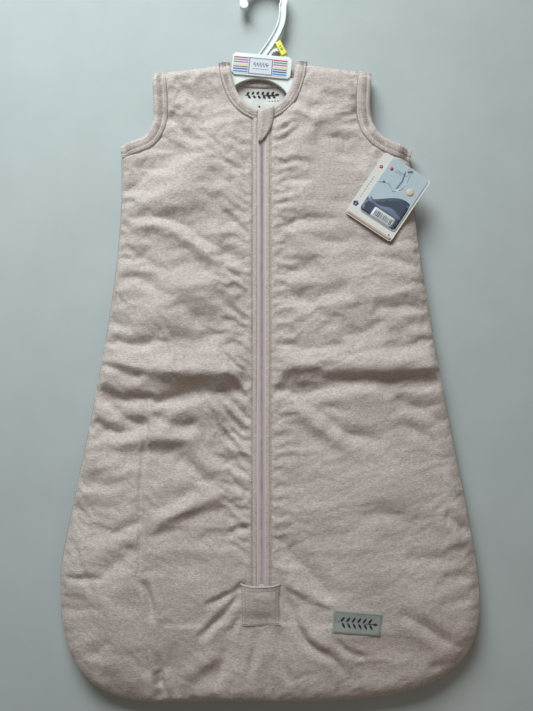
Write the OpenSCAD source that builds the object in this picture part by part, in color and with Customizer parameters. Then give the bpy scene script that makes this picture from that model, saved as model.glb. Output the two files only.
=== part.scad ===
// Baby sleeping bag, quilted jersey, lying flat on its back, with its hanger
// and swing tag. Millimetres. +Z is up from the back panel, +Y runs towards the
// neck and the hanger hook, +X is to the right as seen from above. The origin is
// the middle of the bottom of the whole object.

/* [Bag outline] */
// Distance of the zip line from the middle of the object, along X
zip_x = -10; // [-14:1:-6]
// Width from the zip to the left edge at the hip
hip_left = 209; // [195:1:215]
// Width from the zip to the right edge at the hip
hip_right = 227; // [215:1:236]
// Width from the zip to the left underarm
chest_left = 152; // [145:1:158]
// Width from the zip to the right underarm
chest_right = 162; // [155:1:168]
// Width from the zip to the left shoulder point
shoulder_left = 118; // [114:1:122]
// Width from the zip to the right shoulder point
shoulder_right = 119; // [115:1:123]
// Distance from the origin to the hem
hem_y = 386; // [380:1:392]
// Height of the hook's top along Y
hook_y = 386; // [380:1:392]

/* [Layers] */
// Thickness of each jersey layer
jersey_t = 1.2; // [1:0.1:1.5]
// Thickness of the wadding in each panel
wadding_t = 6; // [5:0.5:7]
// Room inside between the two linings
cavity_t = 8; // [7.5:0.5:9]

/* [Bindings] */
// Width of the armhole binding
armhole_w = 15; // [12:0.5:16]
// Width of the neck binding
neck_w = 13; // [11:0.5:14]

/* [Zip] */
// Half of the gap between the folded cloth edges beside the coil
zip_gap = 4.4; // [4.3:0.1:5]
// Width of the slider body
slider_w = 7.6; // [6:0.1:8]
// Length of the pull tab from its hinge bar to its tip
pull_l = 19; // [15:0.5:19]

/* [Hanger] */
// Middle radius of the hook
hook_r = 22; // [20:0.5:24]
// Width of the hook's band
hook_w = 8; // [7:0.5:9]
// Tilt of the hanger in the neck
hanger_tilt = -5.5; // [-7:0.5:-3]

/* [Hidden] */

n = 18;             // pieces in each curve
eps = 0.15;         // half of the clearance where cloth parts from cloth

// Heights of the layers
z_back_w = jersey_t;
z_back_l = z_back_w + wadding_t;
z_cav = z_back_l + jersey_t;
z_front_l = z_cav + cavity_t;
z_front_w = z_front_l + jersey_t;
z_front_o = z_front_w + wadding_t;
z_top = z_front_o + jersey_t;
z_bind = z_top + 0.8;        // top of the bindings
z_tape = z_front_o - 0.6;    // bottom of the zip tape

// The two fold lines of the front meet here, under the garage pocket
fold_y = -285;
fold_top = 287;
fold_left_x = zip_x - 34;
fold_right_x = zip_x + 37;

// Curves
function bez(a, b, c, d) = [for (i = [0:n]) let (t = i / n, u = 1 - t)
    u * u * u * a + 3 * u * u * t * b + 3 * u * t * t * c + t * t * t * d];
function rev(p) = [for (i = [len(p) - 1:-1:0]) p[i]];
function side_of(p, i) = let (d = p[min(i + 1, len(p) - 1)] - p[max(i - 1, 0)]) [-d[1], d[0]] / norm(d);
function moved(p, d) = [for (i = [0:len(p) - 1]) p[i] + d * side_of(p, i)];
function cut_first(p) = [for (i = [1:len(p) - 1]) p[i]];

lx = zip_x - hip_left;
rx = zip_x + hip_right;
cl = zip_x - chest_left;
cr = zip_x + chest_right;
sl = zip_x - shoulder_left;
sr = zip_x + shoulder_right;

// Free edges of the armholes, from the shoulder to the underarm
arm_l = bez([sl, 276.5], [sl + 5, 220], [sl + 8, 203], [cl, 197]);
arm_r = bez([sr, 277.5], [sr - 5, 225], [sr - 7, 203], [cr, 193]);
arm_l_seam = moved(arm_l, armhole_w);
arm_r_seam = moved(arm_r, -armhole_w);
// Side edges, from the underarm to the hip, and the rounded hem corners
side_l = bez([cl + 1, 182], [cl + 9, 40], [lx + 8, -185], [lx, -250]);
side_r = bez([cr - 2, 178], [cr + 8, 7], [rx - 3, -205], [rx, -270]);
hem_l = bez([lx, -250], [lx - 5, -332], [lx + 20, -hem_y - 2], [lx + 101, -hem_y]);
hem_r = bez([rx, -270], [rx + 4, -352], [rx - 38, -hem_y - 2], [rx - 197, -hem_y]);
// Inner edges of the neck, from the shoulder to the middle of the front
neck_l = bez([fold_left_x, 287], [fold_left_x + 2, 256], [zip_x - 20, 236], [zip_x, 233]);
neck_r = bez([fold_right_x, 288], [fold_right_x - 2, 258], [zip_x + 24, 236], [zip_x, 233]);
neck_l_seam = moved(neck_l, -neck_w);
neck_r_seam = moved(neck_r, neck_w);
// Inner edge of the neck on the back panel, from left to right
neck_b = bez([fold_left_x, 287], [fold_left_x + 10, 274], [fold_right_x - 10, 274], [fold_right_x, 288]);
neck_b_seam = moved(neck_b, -neck_w);

panel_sides = concat(arm_l_seam, side_l, cut_first(hem_l), rev(hem_r), cut_first(rev(side_r)), rev(arm_r_seam));
front_edge = concat(panel_sides, neck_r_seam, cut_first(rev(neck_l_seam)));
back_edge = concat(panel_sides, rev(neck_b_seam));

// Part of the front that folds open, on the left (s = -1) or the right (s = 1)
module fold_area(s, gap) {
    x = s < 0 ? fold_left_x : fold_right_x;
    k = (x - zip_x) / (fold_top - fold_y);
    polygon([[zip_x - s * gap, fold_y], [zip_x + k * 640 - s * gap, fold_y + 640], [zip_x, fold_y + 640], [zip_x, fold_y]]);
}
// Gap beside the coil, wider under the garage pocket where the slider rests
module zip_slot(half) {
    translate([zip_x - half, -262]) square([2 * half, 560]);
    translate([zip_x - 8.5, -298]) square([17, 36.1]);
}
module front_root(z, t, half) {
    translate([0, 0, z]) linear_extrude(t) difference() {
        polygon(front_edge);
        fold_area(-1, -eps);
        fold_area(1, -eps);
        zip_slot(half);
    }
}
module front_fold(s, z, t, half) {
    translate([0, 0, z]) linear_extrude(t) difference() {
        intersection() {
            polygon(front_edge);
            fold_area(s, eps);
        }
        zip_slot(half);
        translate([zip_x - 60, fold_y]) square([120, 80]);
    }
}
module strip(a, b, z, t) {
    translate([0, 0, z]) linear_extrude(t) polygon(concat(a, rev(b)));
}

// Back panel
module back_outer() color([0.80, 0.74, 0.71]) linear_extrude(jersey_t) polygon(back_edge);
module back_wadding() color([0.96, 0.96, 0.95]) translate([0, 0, z_back_w]) linear_extrude(wadding_t) polygon(back_edge);
module back_lining() color([0.90, 0.89, 0.84]) translate([0, 0, z_back_l]) linear_extrude(jersey_t) polygon(back_edge);

// Front panel
module front_outer() color([0.82, 0.76, 0.73]) front_root(z_front_o, jersey_t, zip_gap);
module front_wadding() color([0.96, 0.96, 0.95]) front_root(z_front_w, wadding_t, 16);
module front_lining() color([0.90, 0.89, 0.84]) front_root(z_front_l, jersey_t, 7);
module left_edge_outer() color([0.84, 0.78, 0.75]) front_fold(-1, z_front_o, jersey_t, zip_gap);
module left_edge_wadding() color([0.96, 0.96, 0.95]) front_fold(-1, z_front_w, wadding_t, 16);
module left_edge_lining() color([0.90, 0.89, 0.84]) front_fold(-1, z_front_l, jersey_t, 7);
module right_edge_outer() color([0.84, 0.78, 0.75]) front_fold(1, z_front_o, jersey_t, zip_gap);
module right_edge_wadding() color([0.96, 0.96, 0.95]) front_fold(1, z_front_w, wadding_t, 16);
module right_edge_lining() color([0.90, 0.89, 0.84]) front_fold(1, z_front_l, jersey_t, 7);

// Seams that join the front to the back
seam_w = 7;
module shoulder_seam(free, seam, neck) {
    translate([0, 0, z_cav]) linear_extrude(cavity_t) difference() {
        polygon([seam[0], neck, neck + [0, -seam_w], seam[0] + [0, -seam_w]]);
        polygon(concat(free, rev(seam)));
    }
}
module shoulder_seam_left() color([0.74, 0.67, 0.65]) shoulder_seam(arm_l, arm_l_seam, neck_l_seam[0]);
module shoulder_seam_right() color([0.74, 0.67, 0.65]) shoulder_seam(arm_r, arm_r_seam, neck_r_seam[0]);
module side_seam_left() color([0.74, 0.67, 0.65]) strip(side_l, moved(side_l, seam_w), z_cav, cavity_t);
module side_seam_right() color([0.74, 0.67, 0.65]) strip(side_r, moved(side_r, -seam_w), z_cav, cavity_t);
hem_path = concat(hem_l, rev(hem_r));
module hem_seam() color([0.74, 0.67, 0.65]) difference() {
    strip(hem_path, moved(hem_path, seam_w), z_cav, cavity_t);
    strip(side_l, moved(side_l, seam_w + 1), z_cav - 1, cavity_t + 2);
    strip(side_r, moved(side_r, -seam_w - 1), z_cav - 1, cavity_t + 2);
}

// Neck binding. The fold line crosses it near each shoulder
module neck_front(s) {
    translate([0, 0, z_front_w]) linear_extrude(z_bind - z_front_w) difference() {
        polygon(s < 0 ? concat(neck_l, rev(neck_l_seam)) : concat(neck_r, rev(neck_r_seam)));
        translate([zip_x - 4.6, 200]) square([9.2, 60]);
        children();
    }
}
module neck_fold(s) {
    intersection() {
        neck_front(s);
        translate([0, 0, 0]) linear_extrude(60) fold_area(s, eps);
    }
}
module neck_binding_left() color([0.84, 0.77, 0.75]) neck_fold(-1);
module neck_binding_right() color([0.84, 0.77, 0.75]) neck_fold(1);
module neck_link(s) {
    translate([0, 0, z_cav + 0.6]) linear_extrude(z_front_w - z_cav - 0.6) intersection() {
        polygon(s < 0 ? concat(neck_l, rev(neck_l_seam)) : concat(neck_r, rev(neck_r_seam)));
        translate([zip_x - 80, 284]) square([160, 40]);
        difference() { square(1000, center = true); fold_area(s, -eps); }
    }
}
module neck_binding_back() color([0.80, 0.73, 0.71]) {
    translate([0, 0, 0.4]) linear_extrude(z_cav + 0.2) polygon(concat(neck_b, rev(neck_b_seam)));
    for (s = [-1, 1]) {
        neck_front(s) fold_area(s, -eps);
        neck_link(s);
    }
}

// Armhole bindings: a front and a back band that meet at the shoulder and underarm
module armhole(free, seam, s) {
    strip(free, seam, 0, z_cav);
    strip(free, seam, z_front_w, z_bind - z_front_w);
    translate([0, 0, z_cav]) linear_extrude(z_front_w - z_cav) intersection() {
        polygon(concat(free, rev(seam)));
        union() {
            translate([free[0][0] - 40, 268]) square([80, 30]);
            translate([free[n][0] - (s < 0 ? 4 : 8), 170]) square([12, 40]);
        }
    }
}
module armhole_binding_left() color([0.84, 0.77, 0.75]) armhole(arm_l, arm_l_seam, -1);
module armhole_binding_right() color([0.84, 0.77, 0.75]) armhole(arm_r, arm_r_seam, 1);

// Zip. It closes downwards, so the slider rests at the hem end in the garage
tape_t = 0.6;
coil_t = 2;
module zip_tape(s) {
    translate([s < 0 ? zip_x - 6 : zip_x + 1, -298, z_tape]) cube([5, 517, tape_t]);
}
module zip_coil(s) {
    translate([s < 0 ? zip_x - 2.2 : zip_x + 0.1, -282.5, z_tape + tape_t]) cube([2.1, 503, coil_t]);
}
module zip_tape_left() color([0.72, 0.64, 0.66]) zip_tape(-1);
module zip_tape_right() color([0.72, 0.64, 0.66]) zip_tape(1);
module zip_coil_left() color([0.68, 0.60, 0.63]) zip_coil(-1);
module zip_coil_right() color([0.68, 0.60, 0.63]) zip_coil(1);
module zip_pin() color([0.75, 0.70, 0.70]) {
    translate([zip_x - 3.8, 221, z_tape]) cube([3.5, 9, tape_t + coil_t]);
    translate([zip_x - 1.3, 220.5, z_tape + 1.2]) rotate([-90, 0, 0]) cylinder(r = 0.6, h = 1, $fn = 24);
}
module zip_box() color([0.75, 0.70, 0.70]) difference() {
    translate([zip_x + 0.3, 221, z_tape]) cube([3.9, 9, tape_t + coil_t]);
    translate([zip_x + 2.2, 226, z_tape - 1]) cylinder(r = 0.7, h = 6, $fn = 24);
}
module zip_stops() color([0.80, 0.78, 0.78])
    for (s = [-1, 1])
        translate([s < 0 ? zip_x - 4.2 : zip_x + 1, -297, z_tape + tape_t]) cube([3.2, 2.5, 2]);

slider_y = -285;
bar_y = slider_y + 2.6;
bar_z = z_top + 3;
module slider_plan(w) {
    translate([zip_x, slider_y]) polygon([[-w / 2, -3.5], [-w / 2 + 1.2, -5.5], [w / 2 - 1.2, -5.5], [w / 2, -3.5],
        [w / 2 - 0.5, 4.2], [w / 2 - 1.4, 5.5], [-w / 2 + 1.4, 5.5], [-w / 2 + 0.5, 4.2]]);
}
module zip_slider() color([0.80, 0.76, 0.76]) {
    translate([0, 0, z_top + 1.1]) linear_extrude(1.1) slider_plan(slider_w);
    translate([0, 0, z_tape - 1]) linear_extrude(0.8) slider_plan(slider_w - 0.6);
    // lips that hold the coil
    for (s = [-1, 1]) translate([zip_x + s * (slider_w / 2 - 0.85) - 0.35, slider_y - 3.5, z_top + 0.1]) cube([0.7, 7, 1]);
    // post that parts the coil
    translate([zip_x, slider_y - 3.4, z_tape - 0.5]) cylinder(r = 0.65, h = z_top + 1.3 - z_tape + 0.5, $fn = 24);
    // loop over the hinge bar of the pull
    translate([zip_x - 0.8, slider_y, 0]) rotate([90, 0, 90]) linear_extrude(1.6) difference() {
        polygon([[-1.2, z_top + 2.1], [-1.2, z_top + 3.4], [-0.2, z_top + 4.4], [5, z_top + 4.4], [5.4, z_top + 3.9], [5.4, z_top + 2.1]]);
        translate([0.8, z_top + 2.2]) square([3.6, 1.4]);
    }
}
module zip_pull() color([0.86, 0.83, 0.83]) {
    // hinge bar, side arms, tab and the eye at its tip
    translate([zip_x - 2.3, bar_y, bar_z]) rotate([0, 90, 0]) cylinder(r = 0.5, h = 4.6, $fn = 24);
    for (s = [-1, 1]) translate([zip_x + s * 1.9 - 0.6, bar_y - 0.5, bar_z - 0.5]) cube([1.2, 5.2, 1]);
    difference() {
        union() {
            translate([zip_x - 2.5, bar_y + 4.3, bar_z - 0.5]) cube([5, pull_l - 7, 1]);
            translate([zip_x, bar_y + pull_l - 2.7, bar_z - 0.5]) cylinder(r = 2.7, h = 1, $fn = 40);
        }
        translate([zip_x, bar_y + pull_l - 2.7, bar_z - 2]) cylinder(r = 1.2, h = 4, $fn = 32);
    }
}

// Cloth pieces over the ends of the zip
chin_r = zip_x + 14.2;
module chin_guard() color([0.82, 0.75, 0.73]) translate([0, 0, z_top + 1.2]) linear_extrude(1)
    polygon(concat([[zip_x - 4, 232], [chin_r, 238], [chin_r, 226]],
        bez([chin_r - 0.5, 222], [chin_r - 2, 212], [chin_r - 9, 204], [zip_x - 2.5, 197]), [[zip_x - 4, 199]]));
garage_top = z_top + 5.8;
module zip_garage() color([0.79, 0.73, 0.70]) difference() {
    translate([zip_x - 22, -306, z_top]) cube([42, 42, 5.8]);
    translate([zip_x - 18, -302.5, z_top - 1]) cube([34, 40, 5.8]);
    translate([zip_x - 1, -196, z_top - 1]) cylinder(r = 70.5, h = 10, $fn = 160);
}

// Labels
module woven_label() color([0.53, 0.55, 0.53]) translate([87, -300.8, z_top]) rotate(-6)
    translate([-25, -12, 0]) cube([50, 24, 0.6]);
module care_label() color([0.95, 0.95, 0.94]) translate([-183.8, -132, z_cav]) cube([36, 28, 0.5]);

// Swing tag, two cards and a sticker on a plastic fastener through the binding
tag_x = 146;
tag_y = 165;
tag_z = z_top + 4.2;
tag_turn = -34;
module card(w, l, x, y, z, t) {
    // x and y place the card's lower left corner from the hole, in the tag's own frame
    translate([tag_x, tag_y, z]) rotate(tag_turn) difference() {
        translate([x, y, 0]) linear_extrude(t) hull() for (i = [0, 1], j = [0, 1])
            translate([3 + i * (w - 6), 3 + j * (l - 6)]) circle(r = 3, $fn = 24);
        translate([0, 0, -1]) cylinder(r = 2, h = t + 2, $fn = 32);
    }
}
module tag_back_card() color([0.93, 0.92, 0.88]) card(57.5, 78, -32.5, -75, tag_z, 0.4);
module tag_front_card() color([0.70, 0.75, 0.80]) card(44.5, 67, -22, -64, tag_z + 0.6, 0.4);
module tag_bar_sticker() color([0.97, 0.97, 0.97]) translate([tag_x, tag_y, tag_z + 1]) rotate(tag_turn)
    translate([-9, -63, 0]) cube([26, 11, 0.12]);
module tag_fastener() color([0.95, 0.95, 0.95]) {
    translate([tag_x, tag_y, 14]) cylinder(r = 0.5, h = tag_z + 2.2 - 14, $fn = 24);
    translate([tag_x - 4, tag_y, 14]) rotate([0, 90, 0]) cylinder(r = 0.6, h = 8, $fn = 24);
    translate([tag_x - 2.6, tag_y - 1.1, tag_z + 2]) cube([5.2, 2.2, 0.8]);
}

// Hanger, one plastic moulding with a ribbed hook, stem and arms
h_x = -10;
h_y = 285;
h_z = z_cav + 1.6;
hook_cx = -8;
hook_cy = hook_y - hook_r - hook_w / 2;
spine = concat([for (a = [195:-5:-15]) [hook_cx + hook_r * cos(a), hook_cy + hook_r * sin(a)]],
    bez([hook_cx + hook_r * cos(-20), hook_cy + hook_r * sin(-20)], [14, 334], [8, 321], [-12, 294]));
module band(p, a, b, z, t) {
    translate([0, 0, z]) linear_extrude(t) polygon(concat(moved(p, a), rev(moved(p, b))));
}
module hanger() color([0.93, 0.95, 0.94]) {
    // hook and stem, one I section along the spine, with a round tip
    band(spine, -hook_w / 2 + 0.5, hook_w / 2 - 0.5, h_z + 2, 2);
    band(spine, -hook_w / 2, -hook_w / 2 + 1.5, h_z - 1, 7);
    band(spine, hook_w / 2 - 1.5, hook_w / 2, h_z - 1, 7);
    translate([hook_cx + hook_r * cos(195), hook_cy + hook_r * sin(195), h_z - 1]) cylinder(r = 4.6, h = 7, $fn = 48);
    // plate, arms with an arch under the middle, and the loop for the size marker
    translate([h_x, h_y, 0]) rotate(hanger_tilt) {
        translate([0, 0, h_z]) linear_extrude(7) translate([-32, -12])
            polygon([[3, 0], [61, 0], [64, 3], [64, 21], [61, 24], [3, 24], [0, 21], [0, 3]]);
        translate([0, 0, h_z + 0.5]) linear_extrude(4.5) polygon(concat(
            [[-78, -26], [-31, -9], [31, -9], [78, -26], [82, -32], [78, -38], [50, -32]],
            bez([30, -27], [16, -9], [-16, -9], [-30, -27]), [[-50, -32], [-78, -38], [-82, -32]]));
        translate([16, 12, h_z + 0.5]) difference() {
            cylinder(r = 10, h = 4, $fn = 64);
            translate([0, 0, -1]) cylinder(r = 7, h = 7, $fn = 64);
            translate([-20, -22, -1]) cube([40, 20, 7]);
        }
    }
}
module hanger_sticker() color([0.88, 0.89, 0.93]) translate([h_x, h_y, h_z + 7]) rotate(hanger_tilt)
    translate([-31, -10.5, 0]) cube([59, 18.5, 0.2]);
module size_marker() color([0.92, 0.90, 0.25]) difference() {
    translate([11, 305, h_z - 1]) rotate(-62) translate([-8, -3.2, 0]) cube([16, 6.4, 7.4]);
    translate([h_x, h_y, 0]) rotate(hanger_tilt) translate([16, 12, h_z + 0.3]) difference() {
        cylinder(r = 10.1, h = 4.4, $fn = 64);
        translate([0, 0, -1]) cylinder(r = 6.9, h = 8, $fn = 64);
    }
}

back_outer();
back_wadding();
back_lining();
front_outer();
front_wadding();
front_lining();
left_edge_outer();
left_edge_wadding();
left_edge_lining();
right_edge_outer();
right_edge_wadding();
right_edge_lining();
shoulder_seam_left();
shoulder_seam_right();
side_seam_left();
side_seam_right();
hem_seam();
neck_binding_left();
neck_binding_right();
neck_binding_back();
armhole_binding_left();
armhole_binding_right();
zip_tape_left();
zip_tape_right();
zip_coil_left();
zip_coil_right();
zip_pin();
zip_box();
zip_stops();
zip_slider();
zip_pull();
chin_guard();
zip_garage();
woven_label();
care_label();
tag_back_card();
tag_front_card();
tag_bar_sticker();
tag_fastener();
hanger();
hanger_sticker();
size_marker();
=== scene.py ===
import math
import time

import bpy
import bmesh
import numpy as np
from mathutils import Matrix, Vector, geometry
from mathutils.bvhtree import BVHTree


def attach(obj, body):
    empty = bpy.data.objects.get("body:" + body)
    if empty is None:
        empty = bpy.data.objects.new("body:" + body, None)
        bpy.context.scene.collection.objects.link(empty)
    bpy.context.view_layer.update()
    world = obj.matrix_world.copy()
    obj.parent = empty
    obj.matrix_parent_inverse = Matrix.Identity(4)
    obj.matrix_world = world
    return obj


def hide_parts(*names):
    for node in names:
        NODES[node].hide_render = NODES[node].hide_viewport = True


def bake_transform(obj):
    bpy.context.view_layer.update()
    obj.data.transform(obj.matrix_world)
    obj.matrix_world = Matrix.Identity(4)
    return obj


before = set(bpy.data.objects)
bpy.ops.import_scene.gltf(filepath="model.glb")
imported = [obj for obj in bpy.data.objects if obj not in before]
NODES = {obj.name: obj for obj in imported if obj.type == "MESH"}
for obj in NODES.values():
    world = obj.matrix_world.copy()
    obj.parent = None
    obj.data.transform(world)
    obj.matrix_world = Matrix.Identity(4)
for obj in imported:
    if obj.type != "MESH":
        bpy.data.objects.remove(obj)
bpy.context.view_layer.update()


MM = 0.001
ZIP_X = -10.0
PI = math.pi

# ------------------------------------------------------------------ camera, floor, light
cam = bpy.data.cameras.new("camera")
cam.sensor_fit = "VERTICAL"
cam.sensor_height = 36.0
cam.sensor_width = 36.0
cam.lens = 34.58
cam.clip_start = 0.01
camera = bpy.data.objects.new("camera", cam)
camera.location = (-0.00475, -0.0684, 0.737)
camera.rotation_euler = (math.radians(3.13), 0.0, 0.0)
bpy.context.scene.collection.objects.link(camera)
bpy.context.scene.camera = camera
bpy.context.scene.view_settings.view_transform = "Standard"

world = bpy.data.worlds.new("world")
bpy.context.scene.world = world
world.use_nodes = True
bg = world.node_tree.nodes["Background"]
bg.inputs[0].default_value = (1.0, 0.92, 0.83, 1.0)
bg.inputs[1].default_value = 0.11


def area_light(name, loc, aim, size, energy, color, spread=180.0):
    l = bpy.data.lights.new(name, "AREA")
    l.shape = "RECTANGLE"
    l.size, l.size_y = size
    l.energy = energy
    l.color = color
    l.spread = math.radians(spread)
    o = bpy.data.objects.new(name, l)
    o.location = loc
    o.rotation_euler = (Vector(aim) - Vector(loc)).to_track_quat("-Z", "Y").to_euler()
    bpy.context.scene.collection.objects.link(o)
    return o


area_light("key_light", (-0.35, 1.10, 0.88), (-0.2, 0.0, 0.0), (0.85, 0.75), 11.9, (0.915, 0.985, 1.0), 120.0)
area_light("fill_light", (0.5, -0.5, 1.2), (0.05, -0.05, 0.0), (1.0, 1.0), 1.4, (1.0, 0.80, 0.60))


# ------------------------------------------------------------------ small maths
def bez(a, b, c, d, n=24):
    t = np.linspace(0.0, 1.0, n + 1)[:, None]
    u = 1 - t
    a, b, c, d = (np.array(p, float) for p in (a, b, c, d))
    return u ** 3 * a + 3 * u * u * t * b + 3 * u * t * t * c + t ** 3 * d


def tangents(p):
    d = np.empty_like(p)
    d[1:-1] = p[2:] - p[:-2]
    d[0] = p[1] - p[0]
    d[-1] = p[-1] - p[-2]
    return d / np.maximum(np.linalg.norm(d, axis=1), 1e-9)[:, None]


def moved(p, k):
    d = tangents(p[:, :2])
    return p[:, :2] + k * np.stack([-d[:, 1], d[:, 0]], axis=1)


def resample(p, step=None, n=None):
    seg = np.linalg.norm(np.diff(p, axis=0), axis=1)
    s = np.concatenate([[0], np.cumsum(seg)])
    if n is None:
        n = max(2, int(round(s[-1] / step)) + 1)
    q = np.linspace(0, s[-1], n)
    return np.stack([np.interp(q, s, p[:, k]) for k in range(p.shape[1])], axis=1)


def length_of(p):
    return float(np.linalg.norm(np.diff(p, axis=0), axis=1).sum())


def smooth(t):
    t = np.clip(t, 0, 1)
    return t * t * (3 - 2 * t)


def distance(P, line):
    """Signed distance and place along, 0 to 1, from points P to an open line."""
    line = np.asarray(line, float)
    best = np.full(len(P), 1e9)
    sign = np.ones(len(P))
    place = np.zeros(len(P))
    seg = np.linalg.norm(np.diff(line, axis=0), axis=1)
    run = np.concatenate([[0], np.cumsum(seg)])
    for i in range(len(line) - 1):
        a, d = line[i], line[i + 1] - line[i]
        l2 = max(float(d @ d), 1e-12)
        r = P - a
        t = np.clip((r @ d) / l2, 0, 1)
        q = r - t[:, None] * d
        dist = np.sqrt((q * q).sum(1))
        m = dist < best
        best[m] = dist[m]
        sign[m] = np.where(d[0] * r[m, 1] - d[1] * r[m, 0] >= 0, 1.0, -1.0)
        place[m] = (run[i] + t[m] * seg[i]) / run[-1]
    return best * sign, place


def inside(P, loop):
    x, y = P[:, 0], P[:, 1]
    c = np.zeros(len(P), bool)
    n = len(loop)
    for i in range(n):
        x0, y0 = loop[i]
        x1, y1 = loop[(i + 1) % n]
        if y0 == y1:
            continue
        m = (y0 > y) != (y1 > y)
        c ^= m & (x < (x1 - x0) * (y - y0) / (y1 - y0) + x0)
    return c


def waves(P, seed, length, n=28, stretch=(1.0, 1.0), spread=PI, turn=0.0):
    r = np.random.RandomState(seed)
    out = np.zeros(len(P))
    for _ in range(n):
        a = turn + r.uniform(-spread, spread)
        k = 2 * PI / (length * r.uniform(0.7, 1.45))
        out += np.cos(k * (P[:, 0] * math.cos(a) * stretch[0] + P[:, 1] * math.sin(a) * stretch[1]) + r.uniform(0, 2 * PI))
    return out / math.sqrt(n / 2)


# ------------------------------------------------------------------ outline of the bag, millimetres
ARM_L = bez((-128, 276.5), (-123, 220), (-120, 203), (-162, 197), 40)
ARM_R = bez((109, 277.5), (104, 225), (102, 203), (152, 193), 40)
SEAM_ARM_L = moved(ARM_L, 15.0)
SEAM_ARM_R = moved(ARM_R, -15.0)
SIDE_L = bez((-161, 182), (-153, 40), (-211, -185), (-219, -250), 60)
SIDE_R = bez((150, 178), (160, 7), (214, -205), (217, -270), 60)
HEM_L = bez((-219, -250), (-224, -332), (-199, -388), (-118, -386), 48)
HEM_R = bez((217, -270), (221, -352), (179, -388), (20, -386), 48)
NECK_L = bez((-44, 287), (-42, 256), (-30, 236), (-10, 233), 32)
NECK_R = bez((27, 288), (25, 258), (14, 236), (-10, 233), 32)
NECK_B = bez((-44, 287), (-34, 274), (17, 274), (27, 288), 32)
NECK_W = 11.8
SEAM_NECK_L = moved(NECK_L, -NECK_W)
SEAM_NECK_R = moved(NECK_R, NECK_W)
ZIP_SEAM = 9.2
GARAGE_Y = -303.0


def cut_x(p, x, keep_left):
    out = []
    for i in range(len(p)):
        ok = p[i, 0] <= x if keep_left else p[i, 0] >= x
        if ok:
            out.append(p[i])
        else:
            a, b = p[i - 1], p[i]
            t = (x - a[0]) / (b[0] - a[0])
            out.append(a + t * (b - a))
            break
    return np.array(out)


NS_L = cut_x(SEAM_NECK_L, ZIP_X - ZIP_SEAM, True)
NS_R = cut_x(SEAM_NECK_R, ZIP_X + ZIP_SEAM, False)


def rim(spacing, slit=True):
    """Closed outline of the front, anticlockwise, with a slit down to the garage."""
    parts = []
    add = lambda p: parts.append(resample(np.asarray(p, float), spacing)[:-1])
    add(NS_L[::-1])                                        # zip, up the left neck seam
    add([NS_L[0], SEAM_ARM_L[0]])                          # left shoulder
    add(SEAM_ARM_L)                                        # left armhole, down
    add([SEAM_ARM_L[-1], SIDE_L[0]])
    add(SIDE_L)
    add(HEM_L)
    add([HEM_L[-1], (ZIP_X, -386.0), HEM_R[-1]])
    add(HEM_R[::-1])
    add(SIDE_R[::-1])
    add([SIDE_R[0], SEAM_ARM_R[-1]])
    add(SEAM_ARM_R[::-1])
    add([SEAM_ARM_R[0], NS_R[0]])                          # right shoulder
    add(NS_R)
    if slit:
        add([NS_R[-1], (ZIP_X + ZIP_SEAM, GARAGE_Y)])
        add([(ZIP_X + ZIP_SEAM, GARAGE_Y), (ZIP_X, GARAGE_Y - 3), (ZIP_X - ZIP_SEAM, GARAGE_Y)])
        add([(ZIP_X - ZIP_SEAM, GARAGE_Y), NS_L[-1]])
    return np.concatenate(parts)


def fill(loop, spacing, rows=(), keep=None, line=None, holes=(), seed=1):
    """Triangles inside a loop: an even spread of points, and rows that follow the edge."""
    pts = [loop]
    n = len(loop)
    edges = [(i, (i + 1) % n) for i in range(n)]
    base = n
    for h in holes:
        pts.append(h)
        edges += [(base + i, base + (i + 1) % len(h)) for i in range(len(h))]
        base += len(h)
    if line is not None:
        pts.append(line)
        edges += [(base + i, base + i + 1) for i in range(len(line) - 1)]
        base += len(line)
    closed = np.concatenate([loop, loop[:1]])
    reach = max(rows) if rows else 0.0
    for d in rows:
        t = np.roll(loop, -1, 0) - np.roll(loop, 1, 0)
        t /= np.maximum(np.linalg.norm(t, axis=1), 1e-9)[:, None]
        q = loop + d * np.stack([-t[:, 1], t[:, 0]], axis=1)
        dq, _ = distance(q, closed)
        q = q[(np.abs(dq) > d * 0.93) & inside(q, loop)]
        pts.append(q)
    lo, hi = loop.min(0), loop.max(0)
    ys = np.arange(lo[1], hi[1], spacing * 0.866)
    r = np.random.RandomState(seed)
    g = []
    for j, y in enumerate(ys):
        xs = np.arange(lo[0] + (j % 2) * spacing / 2, hi[0], spacing)
        g.append(np.stack([xs, np.full(len(xs), y)], axis=1))
    g = np.concatenate(g)
    g += r.uniform(-0.12, 0.12, g.shape) * spacing
    g = g[inside(g, loop)]
    dg, _ = distance(g, closed)
    g = g[np.abs(dg) > reach + spacing * 0.6]
    for h in holes:
        dh, _ = distance(g, np.concatenate([h, h[:1]]))
        g = g[~inside(g, h) & (np.abs(dh) > spacing * 0.5)]
    if line is not None:
        dl, _ = distance(g, line)
        g = g[np.abs(dl) > spacing * 0.5]
    pts.append(g)
    P = np.concatenate(pts)
    out = geometry.delaunay_2d_cdt([Vector(p) for p in P.tolist()], edges, [], 0, 1e-5, False)
    V = np.array([tuple(v) for v in out[0]])
    F = np.array([f for f in out[2] if len(f) == 3])
    C = V[F].mean(1)
    ok = inside(C, loop)
    for h in holes:
        ok &= ~inside(C, h)
    F = F[ok]
    a, b, c = V[F[:, 0]], V[F[:, 1]], V[F[:, 2]]
    area = (b[:, 0] - a[:, 0]) * (c[:, 1] - a[:, 1]) - (b[:, 1] - a[:, 1]) * (c[:, 0] - a[:, 0])
    F[area < 0] = F[area < 0][:, ::-1]
    F = F[np.abs(area) > 1e-6]
    return V, F


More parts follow.
